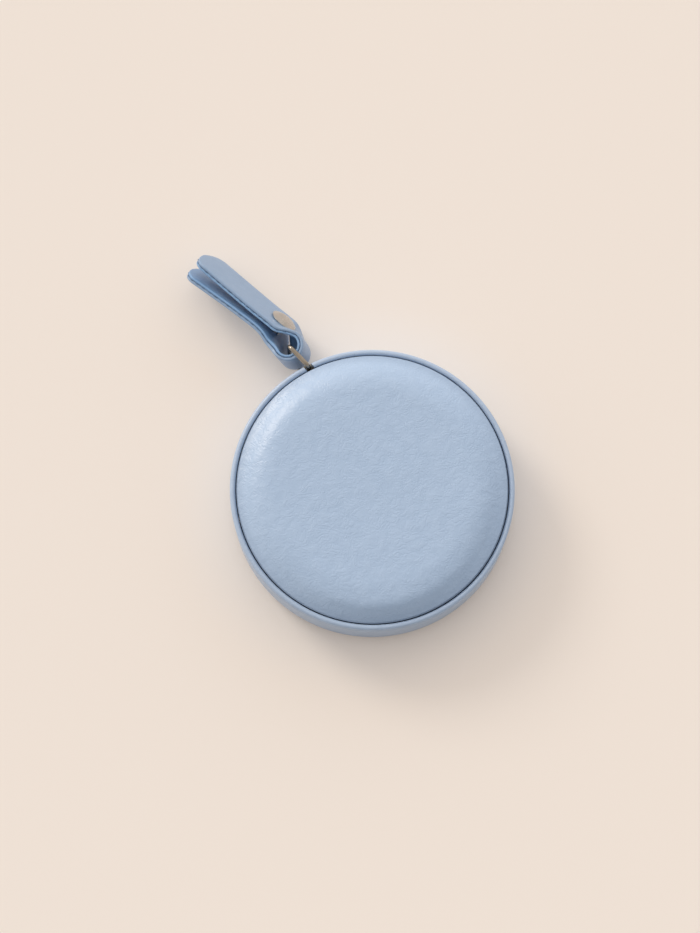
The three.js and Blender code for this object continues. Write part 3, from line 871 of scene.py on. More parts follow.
class WoundStrip(NodeTool):
    """Winds a flat strip on edge into a spiral, and stores how far along it each point is."""

    NAME = "wound_strip"
    LENGTH = "strip_length"
    MEASURES = ("Turns", "Start Radius", "End Radius", "Start Angle", "Thickness", "Width", "Middle Height")
    COUNTS = ("Steps Per Turn",)

    def grow(self, given: Sockets) -> Node:
        """Sweeps a rectangle along a spiral.

        Args:
            given: the outputs of the tree's input node.

        Returns:
            The node that carries the strip.
        """
        add = partial(add_node, self.tree)
        radii = {name: given[name] for name in ("Start Radius", "End Radius")}
        turns = {"Resolution": given["Steps Per Turn"], "Rotations": given["Turns"], "Height": 0.0}
        spiral = add("GeometryNodeCurveSpiral", {**turns, **radii})
        along = add("GeometryNodeSplineParameter").outputs["Length"]
        stored = {"Geometry": spiral, "Name": self.LENGTH, "Value": along}
        marked = add("GeometryNodeStoreNamedAttribute", stored, data_type="FLOAT", domain="POINT")
        upright = add("GeometryNodeSetCurveNormal", {"Curve": marked}, mode="Z_UP")
        sides = {"Width": given["Thickness"], "Height": given["Width"]}
        edge = add("GeometryNodeCurvePrimitiveQuadrilateral", sides)
        strip = add("GeometryNodeCurveToMesh", {"Curve": upright, "Profile Curve": edge, "Fill Caps": True})
        turn = add("ShaderNodeCombineXYZ", {2: given["Start Angle"]})
        lift = add("ShaderNodeCombineXYZ", {2: given["Middle Height"]})
        return add("GeometryNodeTransform", {"Geometry": strip, "Translation": lift, "Rotation": turn})


class SeamStitches(NodeTool):
    """Lays short stitches of thread along a seam."""

    NAME = "seam_stitches"
    MEASURES = ("Spacing", "Stitch Length", "Thread Width", "Unevenness")
    COUNTS = ("Seed",)

    def grow(self, given: Sockets) -> Node:
        """Sets a plump stitch, turned along the seam, at each step of the path.

        Args:
            given: the outputs of the tree's input node.

        Returns:
            The node that carries the stitches.
        """
        add = partial(add_node, self.tree)
        seam = add("GeometryNodeMeshToCurve", {"Mesh": given["Geometry"]})
        steps = add("GeometryNodeResampleCurve", {"Curve": seam, "Length": given["Spacing"]}, mode="LENGTH")
        along = add("GeometryNodeInputTangent")
        turned = add("FunctionNodeAlignRotationToVector", {"Vector": along}, axis="X")
        least = add("ShaderNodeMath", {0: 1.0, 1: given["Unevenness"]}, operation="SUBTRACT")
        vary = add("FunctionNodeRandomValue", {2: least, 3: 1.0, "Seed": given["Seed"]}, data_type="FLOAT")
        long = add("ShaderNodeMath", {0: given["Stitch Length"], 1: vary}, operation="MULTIPLY")
        size = add("ShaderNodeCombineXYZ", {0: long, 1: given["Thread Width"], 2: given["Thread Width"]})
        stitch = add("GeometryNodeMeshUVSphere", {"Segments": 8, "Rings": 6, "Radius": 0.5})
        laid = {"Points": steps, "Instance": stitch, "Rotation": turned, "Scale": size}
        return add("GeometryNodeInstanceOnPoints", laid)


def spreads_away(turn: float, place_deg: float, spread_deg: float) -> float:
    """Returns how far a turn about the axis is from a place, as a multiple of the place's spread."""
    return math.remainder(turn - math.radians(place_deg), math.tau) / math.radians(spread_deg)


@dataclass
class FrontCover:
    """The padded front: a domed leather cover on a foam pad, which gives when the button is pressed.

    A full place is its direction in degrees, its height and its distance in from the edge. Pairs are
    where a rise starts and ends, as shares of the radius. Levels pick different fields of noise.
    """

    leather: float = 0.9
    skirt: float = 1.5
    edge_in: float = 0.15
    hem: float = 0.26
    hem_height: float = 0.85
    hem_steps: int = 4
    cover_line: PadLine = PadLine(shoulder=9.0, power=2.5, foot=2.4, flare=0.5)
    cover_segments: int = 240
    foam_line: PadLine = PadLine(shoulder=8.5, power=2.0)
    foam_segments: int = 96
    foam_room: float = 0.1
    foam_rise: float = 2.7
    recess_radius: float = 7.38
    recess_room: float = 0.25
    swell: float = 0.09
    swell_size: float = 12.0
    swell_end: Flat = (0.8, 0.97)
    full_places: tuple[tuple[float, float, float], ...] = ((-126.0, 0.45, 3.0), (100.0, 0.15, 4.6))
    full_spread_deg: float = 34.0
    full_width: float = 2.1
    drawn_place_deg: float = -142.0
    drawn_spread_deg: float = 42.0
    drawn_depth: float = 0.6
    drawn_width: float = 3.3
    pucker: float = 0.03
    pucker_count: int = 96
    pucker_start: Flat = (0.78, 0.9)
    pucker_end: Flat = (0.94, 0.995)
    drift: float = 2.5
    drift_scale: float = 2.0
    drift_level: float = 7.0
    patch_scale: float = 1.5
    patch_level: float = 3.0
    pressed_share: float = 0.68

    def build(self) -> None:
        """Builds the cover and its foam."""
        low, high = (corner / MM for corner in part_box("front_leather"))
        edge = high.x - self.edge_in
        foam_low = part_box("front_foam")[0].z / MM
        outside = self.cover_line.points(edge, low.z + self.skirt, high.z)
        hem_radius = min(self.hem, self.hem_height) / 2
        hem_edge, hem_z = edge + self.hem - hem_radius, low.z + self.hem_height - hem_radius
        tuck = [(edge, low.z + self.hem_height)]
        tuck += bend_round(hem_edge, hem_z, hem_radius, 90, 0, self.hem_steps)
        tuck += [(edge + self.hem, low.z)]
        foam_edge, foam_top = high.x - self.leather, foam_low + self.foam_rise
        inside = self.foam_line.points(foam_edge, foam_low + self.foam_room, foam_top + self.foam_room)
        profile = [*outside, *tuck, (high.x - self.leather, low.z), *reversed(inside)]
        cover = revolve(profile, self.cover_segments)
        for point in cover.points[: 1 + (len(outside) - 1) * self.cover_segments]:
            point.z += self.unevenness(point, edge)
        leather = cover.piece("padded_front_cover", COVER_LEATHER)

        recess_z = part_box("press_button")[1].z / MM + self.recess_room
        dome = self.foam_line.points(foam_edge - self.foam_room, foam_low, foam_top)
        recess = [(self.recess_radius, foam_low), (self.recess_radius, recess_z), (0.0, recess_z)]
        foam = revolve([*dome, *recess], self.foam_segments).piece("front_foam_pad", PAD_FOAM)

        settle(leather, Body.CASE, Slot.CASE_LEATHER, "front_leather")
        settle(foam, Body.CASE, Slot.FOAM, "front_foam")
        for pad in (leather, foam):
            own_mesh(pad)

    def unevenness(self, point: Vector, radius: float) -> float:
        """Gives the pad's slow swell and fuller places, the shoulder's puckers, and the edge drawn down.

        Args:
            point: a point of the cover's outside.
            radius: the cover's radius.

        Returns:
            How far the point rises.
        """
        share = math.hypot(point.x, point.y) / radius
        turn = math.atan2(point.y, point.x)
        inset = radius * (1 - share)
        spot = Vector((point.x, point.y, 0.0)) / self.swell_size
        rise = self.swell * noise.noise(spot) * (1 - smoothstep(share, *self.swell_end))
        drift = self.drift * noise.noise(spot * self.drift_scale + Vector((0.0, 0.0, self.drift_level)))
        shoulder = smoothstep(share, *self.pucker_start) * (1 - smoothstep(share, *self.pucker_end))
        patch = 0.5 + 0.5 * noise.noise(spot * self.patch_scale + Vector((0.0, 0.0, self.patch_level)))
        rise += self.pucker * shoulder * patch * math.sin(self.pucker_count * turn + drift)
        for place_deg, height, middle in self.full_places:
            across = (inset - middle) / self.full_width
            away = spreads_away(turn, place_deg, self.full_spread_deg)
            rise += height * math.exp(-(away**2) - across**2)
        away = spreads_away(turn, self.drawn_place_deg, self.drawn_spread_deg)
        near = max(1 - inset / self.drawn_width, 0.0)
        return rise - self.drawn_depth * math.exp(-(away**2)) * near**2


@dataclass
class BackCover:
    """The thinly padded leather back that the case lies on."""

    leather: float = 0.9
    flatness: float = 16.0
    crown_steps: int = 40
    foam_inside: float = 3.0
    foam_room: float = 0.1
    foam_round: float = 0.3
    round_steps: int = 4
    foam_segments: int = 96

    def build(self) -> None:
        """Builds the back's leather and foam."""
        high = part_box("back_leather")[1] / MM
        radius, inside = high.x, high.x - self.leather
        crown = crowned(radius, self.leather, -self.leather, self.flatness, self.crown_steps)
        shell = [*crown, (radius, high.z), (inside, high.z), (inside, self.leather), (0.0, self.leather)]
        leather = revolve(shell).piece("back_cover", COVER_LEATHER)
        foam_edge, bend = inside - self.foam_room, self.foam_round
        rim = bend_round(foam_edge - bend, high.z - bend, bend, 0, 90, self.round_steps)
        hole = self.foam_inside
        loop = [(hole, self.leather), (foam_edge, self.leather), *rim, (hole, high.z)]
        foam = revolve(loop, self.foam_segments).piece("back_foam_pad", PAD_FOAM)
        settle(leather, Body.CASE, Slot.CASE_LEATHER, "back_leather")
        settle(foam, Body.CASE, Slot.FOAM, "back_foam")


@dataclass
class RimBand:
    """The leather band round the rim: a rounded lip, a crease under it, and the slit of the tape mouth."""

    outside: float = 31.0
    thickness: float = 1.1
    lip_extra: float = 0.15
    lip_height: float = 1.5
    edge_round: float = 0.6
    round_steps: int = 6
    side_steps: int = 16
    crease_drop: float = 1.9
    crease_depth: float = 0.3
    crease_width: float = 0.28
    crease_steps: int = 12
    crease_reach: float = 2.0
    mouth_x: float = 8.5
    slit_half: float = 0.9
    window_half: float = 1.7
    window_reach: float = 3.15
    window_edge: float = 0.05
    columns: int = 260

    def build(self) -> None:
        """Builds the band."""
        low, high = (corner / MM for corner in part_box("rim_band"))
        clip_low, clip_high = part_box("tape_end_clip")
        pull_z = (clip_low.z + clip_high.z) / 2 / MM
        outer, inner = self.sides(low.z, high.z, pull_z)
        loop = [*outer, *reversed(inner)]
        rows = []
        for column in range(self.columns + 1):
            row = []
            for r, z in loop:
                half = self.window_half if abs(z - pull_z) < self.window_reach else self.slit_half
                start, end = math.acos((self.mouth_x - half) / r), math.acos((self.mouth_x + half) / r)
                turn = start + (end + math.tau - start) * column / self.columns
                row.append(Vector((r * math.cos(turn), r * math.sin(turn), z)))
            rows.append(row)
        shape = loft(rows)
        # The section isn't convex, so its two ends are filled step by step.
        for first in (0, self.columns * len(loop)):
            ring = range(first, first + len(loop))
            for i in range(len(outer) - 1):
                shape.faces.append((ring[i], ring[i + 1], ring[-2 - i], ring[-1 - i]))
        settle(shape.piece("rim_band_leather", BAND_LEATHER), Body.CASE, Slot.CASE_LEATHER, "rim_band")

    def sides(self, low: float, high: float, pull_z: float) -> tuple[list[Flat], list[Flat]]:
        """Gives the band's section, as matching points of its outside and inside.

        Args:
            low: its lower edge.
            high: the top of its lip.
            pull_z: the middle of the tape mouth.

        Returns:
            The points of the outside and of the inside, from the bottom to the top.
        """
        outside, inside = self.outside, self.outside - self.thickness
        lip, bend, steps = (self.thickness + self.lip_extra) / 2, self.edge_round, self.round_steps
        corner = bend_round(outside - bend, low + bend, bend, -90, 0, steps)
        crease_z, half = high - self.crease_drop, self.crease_steps / 2
        start, end = corner[-1][1], high - lip
        levels = {start + (end - start) * i / self.side_steps for i in range(1, self.side_steps + 1)}
        for i in range(self.crease_steps + 1):
            levels.add(crease_z + self.crease_width * self.crease_reach * (i - half) / half)
        for edge in (pull_z - self.window_reach, pull_z + self.window_reach):
            levels |= {edge - self.window_edge, edge + self.window_edge}
        outer, inner = list(corner), [(inside, z) for _, z in corner]
        for z in sorted(level for level in levels if start < level <= end):
            crease = self.crease_depth * math.exp(-(((z - crease_z) / self.crease_width) ** 2))
            outer.append((outside - crease, z))
            inner.append((inside - self.lip_extra * smoothstep(z, high - self.lip_height, high - lip), z))
        outer += bend_round(outside - lip, high - lip, lip, 0, 90, steps)[1:]
        inner += bend_round(outside - lip, high - lip, lip, 180, 90, steps)[1:]
        return outer, inner


@dataclass
class Shells:
    """The moulded shells, and the axle that is screwed to the back one. Their CAD shapes are kept."""

    frame: dict

    def build(self) -> None:
        """Paints the shells and the axle."""
        paint_nodes(self.frame, SHELL_PLASTIC, "front_shell", "back_shell")
        paint_nodes(self.frame, SPRING_STEEL, "axle", "axle_screw", "thrust_washer")


@dataclass
class TapeLine:
    """Where the tape leaves the full coil, and how it bends to run straight to the mouth."""

    mouth_x: float = 8.5
    wire: float = 1.0
    clip_neck: float = 1.8
    clip_clamp: float = 3.6
    bend: float = 0.9
    coil_room: float = 1.4

    def __post_init__(self) -> None:
        """Works out the places that the coil and the lead share."""
        low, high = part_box("pull_ring")
        self.ring_y = low.y / MM + self.wire / 2
        self.pull_z = (low.z + high.z) / 2 / MM
        self.clip_y = self.ring_y - self.clip_neck - self.clip_clamp
        self.corner = Vector((self.mouth_x, self.clip_y - self.bend))
        self.coil_end = self.corner.length - self.coil_room
        leave = math.atan2(self.corner.y, self.corner.x) - math.acos(self.coil_end / self.corner.length)
        self.leave_angle = leave
        self.leave_way = Vector((-math.sin(leave), math.cos(leave)))
        self.leave_point = Vector((math.cos(leave), math.sin(leave))) * self.coil_end


@dataclass
class Reel:
    """The reel with the wound tape, and the flat spiral spring that winds it back."""

    frame: dict
    tape: TapeLine
    tape_thickness: float = 0.4
    tape_width: float = 8.2
    tape_pitch: float = 0.86
    tape_steps: int = 72
    coil_start: float = 11.03
    spring_thickness: float = 0.25
    spring_start: float = 2.775
    spring_end: float = 9.203
    spring_turns: float = 7.5
    spring_steps: int = 48

    def build(self) -> None:
        """Winds the tape and the spring, and paints the reel."""
        winder = WoundStrip()
        turns = (self.tape.coil_end - self.coil_start) / self.tape_pitch
        coil = winder.make(
            "tape_winding",
            [],
            Turns=turns,
            Steps_Per_Turn=self.tape_steps,
            Start_Radius=self.coil_start * MM,
            End_Radius=self.tape.coil_end * MM,
            Start_Angle=self.tape.leave_angle - math.tau * turns,
            Thickness=self.tape_thickness * MM,
            Width=self.tape_width * MM,
            Middle_Height=self.tape.pull_z * MM,
            Material=COIL_CLOTH.material(),
        )
        settle(coil, Body.REEL, Slot.TAPE_CLOTH, "tape_coil")
        low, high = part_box("power_spring")
        spring = winder.make(
            "power_spring_winding",
            [],
            Turns=self.spring_turns,
            Steps_Per_Turn=self.spring_steps,
            Start_Radius=self.spring_start * MM,
            End_Radius=self.spring_end * MM,
            Start_Angle=-math.tau * self.spring_turns,
            Thickness=self.spring_thickness * MM,
            Width=high.z - low.z,
            Middle_Height=(low.z + high.z) / 2,
            Material=SPRING_STEEL.material(),
        )
        settle(spring, Body.CASE, Slot.SPRING_STEEL, "power_spring")
        paint_nodes(self.frame, REEL_PLASTIC, "reel_drum", "reel_lid")


@dataclass
class Brake:
    """The brake button under the padded front, its rubber ring and its spring."""

    frame: dict
    wire: float = 0.6
    wire_sides: int = 12
    coil_radius: float = 4.978
    curls: int = 4
    curl_steps: int = 44
    foot_z: float = 8.7

    def build(self) -> None:
        """Builds the spring and paints the button."""
        low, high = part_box("button_spring")
        bottom, top = low.z / MM + self.wire / 2, high.z / MM - self.wire / 2
        count = self.curl_steps * self.curls
        path = []
        for i in range(count + 1):
            turn = math.tau * self.curls * i / count
            rise = bottom + (top - bottom) * i / count
            path.append(Vector((self.coil_radius * math.cos(turn), self.coil_radius * math.sin(turn), rise)))
        coil = tube(path, self.wire / 2, self.wire_sides, closed=False)
        spring = coil.piece("button_spring_coil", SPRING_STEEL)
        settle(spring, Body.CASE, Slot.SPRING_STEEL, "button_spring")
        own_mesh(spring)
        paint_nodes(self.frame, REEL_PLASTIC, "press_button")
        paint_nodes(self.frame, BRAKE_RUBBER, "brake_pad")


@dataclass
class TapeEnd:
    """The free end of the tape: the cloth from the coil to the folded clip, and the clip itself."""

    frame: dict
    tape: TapeLine
    thickness: float = 0.4
    start_room: float = 0.25
    stretch: float = 0.44
    straight_steps: int = 8
    bend_steps: int = 40
    end_steps: int = 6

    def build(self) -> None:
        """Builds the lead, from the coil round the bend to the clip, and paints the clip."""
        low, high = (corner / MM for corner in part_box("tape_lead"))
        line = self.line()
        rows = []
        for i, point in enumerate(line):
            along = heading(line, i)
            side = Vector((along.y, -along.x)) * self.thickness / 2
            near, far = point - side, point + side
            corners = ((near, low.z), (near, high.z), (far, high.z), (far, low.z))
            rows.append([Vector((*flat, z)) for flat, z in corners])
        lead = loft(rows, capped=True).piece("tape_lead_cloth", LEAD_CLOTH)
        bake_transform(lead)
        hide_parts("tape_lead")
        log.info("%s bends from %s to %s", lead.name, Body.CASE.value, Body.TAPE_END.value)
        paint_nodes(self.frame, CLIP_METAL, "tape_end_clip", "clip_rivet")

    def line(self) -> list[Vector]:
        """Gives the lead's middle line: straight off the coil, round the bend, then along +Y.

        Returns:
            The points, from the coil to the clip.
        """
        tape = self.tape
        first = tape.leave_point + tape.leave_way * self.start_room
        start = tape.corner - tape.leave_way * 2 * tape.bend
        end = Vector((tape.mouth_x, tape.clip_y))
        last = Vector((tape.mouth_x, tape.ring_y - tape.clip_neck))
        points = [first.lerp(start, i / self.straight_steps) for i in range(self.straight_steps)]
        for i in range(self.bend_steps + 1):
            share = i / self.bend_steps
            points.append(start.lerp(tape.corner, share).lerp(tape.corner.lerp(end, share), share))
        return points + [end.lerp(last, i / self.end_steps) for i in range(1, self.end_steps + 1)]


@dataclass
class PullRing:
    """The bent wire ring between the clip on the tape and the strap."""

    wire: float = 1.0
    wire_sides: int = 20
    bend: float = 1.2
    bend_steps: int = 10

    def build(self) -> None:
        """Builds the ring."""
        low, high = (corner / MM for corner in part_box("pull_ring"))
        reach = self.wire / 2 + self.bend
        x = (low.x + high.x) / 2
        near, far, bottom, top = low.y + reach, high.y - reach, low.z + reach, high.z - reach
        path = []
        corners = ((far, bottom, -90), (far, top, 0), (near, top, 90), (near, bottom, 180))
        for middle_y, middle_z, start in corners:
            arc = bend_round(middle_y, middle_z, self.bend, start, start + 90, self.bend_steps)
            path += [Vector((x, y, z)) for y, z in arc]
        ring = tube(path, self.wire / 2, self.wire_sides, closed=True)
        settle(ring.piece("pull_ring_wire", RING_METAL), Body.RING, Slot.NICKEL, "pull_ring")


@dataclass
class PullStrap:
    """The strap: two layers of leather, folded round the ring, sewn along their edges and riveted.

    Gaps are from the strap's middle to the inside of a leaf, at the rivet, at the pinch and at the tip.
    A gather's limits are where the lining's bunching up rises, or for gather_along where it fades.
    """

    tape: TapeLine
    ring_length: float = 6.2
    slack: float = 0.3
    shift: float = 0.75
    width: float = 11.2
    length: float = 29.4
    leather: float = 0.65
    lining: float = 0.55
    glue: float = 0.1
    swell: float = 0.07
    edge_round: float = 0.2
    edge_share: float = 0.48
    edge_steps: int = 4
    face_steps: int = 10
    fold_radius: float = 2.3
    fold_steps: int = 26
    leaf_steps: int = 96
    smoothings: int = 6
    rivet_place: float = 5.5
    pinch_place: float = 13.0
    right_gaps: tuple[float, ...] = (2.1, 1.3, -0.1)
    left_gaps: tuple[float, ...] = (-0.45, 0.05, 2.85)
    tip_length: float = 3.4
    tip_width: float = 2.4
    yaw_deg: float = 0.3
    pitch_deg: float = -3.9287
    fold_roll_deg: float = 7.0
    leaf_roll_deg: float = 29.5
    twist_start: float = -0.3
    twist_end: float = 5.0
    gather: float = 2.1
    gather_out: Flat = (0.3, 1.8)
    gather_along: Flat = (1.5, 4.3)
    gather_across: Flat = (-0.5, 3.0)
    crease_place: float = 4.4
    crease_depth: float = 0.14
    crease_width: float = 0.3
    stitch_spacing: float = 1.75
    stitch_length: float = 1.15
    stitch_unevenness: float = 0.25
    stitch_seed: int = 5
    thread: float = 0.26
    sunk_share: float = 0.1
    cap_radius: float = 3.1
    cap_rise: float = 0.9
    cap_skirt: float = 0.3
    cap_steps: int = 18
    rim_steps: int = 5
    seat: float = 0.35
    back_seat: float = 0.8
    post_radius: float = 1.0
    post_room: float = 0.1
    head_radius: float = 1.9
    head_height: float = 0.5
    head_power: float = 4.0
    head_steps: int = 12
    rivet_segments: int = 72

    def __post_init__(self) -> None:
        """Works out the strap's place and its middle line."""
        spot = (self.tape.mouth_x, self.tape.ring_y + self.ring_length, self.tape.pull_z)
        yaw = Matrix.Rotation(math.radians(self.yaw_deg), 4, "Z")
        pitch = Matrix.Rotation(math.radians(self.pitch_deg), 4, "X")
        self.place = Matrix.Translation(spot) @ yaw @ pitch
        fold = [Vector(point) for point in bend_round(0, 0, self.fold_radius, 0, -180, self.fold_steps)]
        right, left = self.leaf(1, self.right_gaps), self.leaf(-1, self.left_gaps)
        self.line = [*reversed(right), *fold[1:-1], *left]
        for _ in range(self.smoothings):
            middles = zip(self.line, self.line[1:], self.line[2:])
            self.line[1:-1] = [before * 0.25 + here * 0.5 + after * 0.25 for before, here, after in middles]

    @property
    def thickness(self) -> float:
        """The thickness of both layers together."""
        return self.lining + self.glue + self.leather

    def leaf(self, side: int, gaps: Sequence[float]) -> list[Vector]:
        """Gives the inside line of one leaf, a smooth curve through its gaps from the middle.

        Args:
            side: 1 for the right leaf, -1 for the left.
            gaps: the gaps at the rivet, at the pinch and at the tip.

        Returns:
            The points, from the fold to the tip.
        """
        places = (0.0, self.rivet_place, self.pinch_place, self.length)
        knots = [Vector((side * gap, place)) for gap, place in zip((self.fold_radius, *gaps), places)]
        last = len(knots) - 1
        points = []
        for step in range(self.leaf_steps + 1):
            i = min(int(step * last / self.leaf_steps), last - 1)
            share = step * last / self.leaf_steps - i
            start, end = knots[i], knots[i + 1]
            leave = (end - knots[max(i - 1, 0)]) / 2
            arrive = (knots[min(i + 2, last)] - start) / 2
            cubic = (start - end) * 2 + leave + arrive
            square = (end - start) * 3 - leave * 2 - arrive
            points.append(cubic * share**3 + square * share**2 + leave * share + start)
        return points

    def half_width(self, place: float) -> float:
        """Returns half the strap's width, which is rounded off at the tips."""
        share = min(max((place - self.length + self.tip_length) / self.tip_length, 0.0), 1.0)
        full, end = self.width / 2, self.tip_width / 2
        return math.sqrt(full**2 - (full**2 - end**2) * share**2)

    def twisted(self, flat: Vector, across: float) -> Vector:
        """Leans a point over: the fold stands nearly upright in the ring, and the leaves lean more.

        Args:
            flat: the point's place across the leaves and along the strap.
            across: its place across the strap's width.

        Returns:
            The point, in the part's frame.
        """
        share = smoothstep(flat.y, self.twist_start, self.twist_end)
        roll = math.radians(self.fold_roll_deg + (self.leaf_roll_deg - self.fold_roll_deg) * share)
        cosine, sine = math.cos(roll), math.sin(roll)
        leaned = Vector((flat.x * cosine - across * sine, flat.y, across * cosine + flat.x * sine))
        return self.place @ (leaned + Vector((self.shift, self.slack, 0.0)))

    def outward(self, i: int) -> Vector:
        """Returns the direction out of the strap's outer face at a step of its line."""
        along = heading(self.line, i)
        return Vector((-along.y, along.x))

    def section(self, half: float, inner: float, outer: float, swell: float) -> list[Flat]:
        """Gives the outline of a layer's cross-section, with rounded edges.

        Args:
            half: half the layer's width.
            inner: its inner face, out from the strap's line.
            outer: its outer face.
            swell: how much its outer face swells in the middle.

        Returns:
            The points, as distances out from the line and across the width.
        """
        bend = min(self.edge_round, self.edge_share * (outer - inner))
        reach = half - bend
        steps = [reach * (2 * i / self.face_steps - 1) for i in range(1, self.face_steps)]
        return [
            *bend_round(inner + bend, -reach, bend, 180, 270, self.edge_steps),
            *bend_round(outer - bend, -reach, bend, 270, 360, self.edge_steps),
            *((outer + swell * (1 - (z / half) ** 2), z) for z in steps),
            *bend_round(outer - bend, reach, bend, 0, 90, self.edge_steps),
            *bend_round(inner + bend, reach, bend, 90, 180, self.edge_steps),
            *((inner, z) for z in reversed(steps)),
        ]

    def layer(self, inner: float, outer: float, swell: float, creased: bool) -> Shape:
        """Sweeps a layer of leather along the strap.

        Args:
            inner: its inner face, out from the strap's line.
            outer: its outer face.
            swell: how much its outer face swells in the middle.
            creased: whether its inner face is creased at the rivet and bunched up in the bend.

        Returns:
            The closed shape.
        """
        rows = []
        for i, point in enumerate(self.line):
            out = self.outward(i)
            near = inner
            if creased and point.x < 0:
                away = (point.y - self.crease_place) / self.crease_width
                near += self.crease_depth * math.exp(-(away**2))
            row = []
            for away, across in self.section(self.half_width(point.y), near, outer, swell):
                if creased and away < (near + outer) / 2:
                    away -= self.gathered(point, across)
                row.append(self.twisted(point + out * away, across))
            rows.append(row)
        return loft(rows, capped=True)

    def gathered(self, flat: Vector, across: float) -> float:
        """Gives how far the lining bunches up inside the bend, low down beside the ring.

        Args:
            flat: a point's place across the leaves and along the strap.
            across: its place across the strap's width.

        Returns:
            How far it swells into the loop.
        """
        beside = smoothstep(flat.x, *self.gather_out) * (1 - smoothstep(flat.y, *self.gather_along))
        return self.gather * beside * smoothstep(-across, *self.gather_across)

    def seam(self, side: int) -> list[Vector]:
        """Gives the seam between the layers along one edge of the strap.

        Args:
            side: 1 for the upper edge, -1 for the lower.

        Returns:
            The points, from the right tip round the fold to the left tip.
        """
        middle = self.lining + self.glue / 2
        path = []
        for i, point in enumerate(self.line):
            across = side * (self.half_width(point.y) - self.thread * self.sunk_share)
            path.append(self.twisted(point + self.outward(i) * middle, across))
        return path

    def build(self) -> None:
        """Builds the layers, the seams and the rivet."""
        layer = self.layer(self.lining + self.glue, self.thickness, self.swell, creased=False)
        outer = layer.piece("strap_outer_leather", STRAP_LEATHER)
        settle(outer, Body.STRAP, Slot.STRAP_LEATHER, "strap_outer")
        layer = self.layer(0.0, self.lining, 0.0, creased=True)
        lining = layer.piece("strap_lining_leather", LINING_LEATHER)
        settle(lining, Body.STRAP, Slot.STRAP_LINING, "strap_lining")
        sewing = SeamStitches()
        for name, side in (("seam_stitches_upper", 1), ("seam_stitches_lower", -1)):
            stitches = sewing.make(
                name,
                self.seam(side),
                Spacing=self.stitch_spacing * MM,
                Stitch_Length=self.stitch_length * MM,
                Thread_Width=self.thread * MM,
                Unevenness=self.stitch_unevenness,
                Seed=self.stitch_seed,
                Material=SEAM_THREAD.material(),
            )
            settle(stitches, Body.STRAP, Slot.STRAP_LEATHER)
        self.build_rivet()

    def build_rivet(self) -> None:
        """Builds the rivet's domed cap, and its post with the head at the back."""
        upright = Matrix.Translation((self.shift, self.rivet_place + self.slack, 0.0))
        lean = Matrix.Rotation(math.radians(90 - self.leaf_roll_deg), 4, "Y")
        place = self.place @ upright @ lean
        seat_z = self.right_gaps[0] + self.thickness + self.seat
        ball = (self.cap_radius**2 + self.cap_rise**2) / (2 * self.cap_rise)
        dome = []
        for i in range(self.cap_steps + 1):
            r = self.cap_radius * math.sin(math.pi / 2 * i / self.cap_steps)
            dome.append((r, seat_z + self.cap_rise - ball + math.sqrt(ball**2 - r**2)))
        bend = self.cap_skirt / 2
        rim = bend_round(self.cap_radius - bend, seat_z - bend, bend, 0, -90, self.rim_steps)
        cap = revolve([*dome, *rim, (0.0, seat_z - self.cap_skirt)], self.rivet_segments).moved(place)
        settle(cap.piece("strap_rivet_dome", RIVET_METAL), Body.STRAP, Slot.NICKEL, "strap_rivet_cap")
        face_z = -self.left_gaps[0] - self.thickness
        foot_z, top_z = face_z - self.seat, seat_z - self.post_room
        tail_z = face_z - self.back_seat
        head = crowned(self.head_radius, tail_z, -self.head_height, self.head_power, self.head_steps)
        neck = [(self.head_radius, foot_z), (self.post_radius, foot_z)]
        neck += [(self.post_radius, top_z), (0.0, top_z)]
        post = revolve([*head, *neck], self.rivet_segments).moved(place)
        settle(post.piece("strap_rivet_stem", RIVET_METAL), Body.STRAP, Slot.NICKEL, "strap_rivet_post")


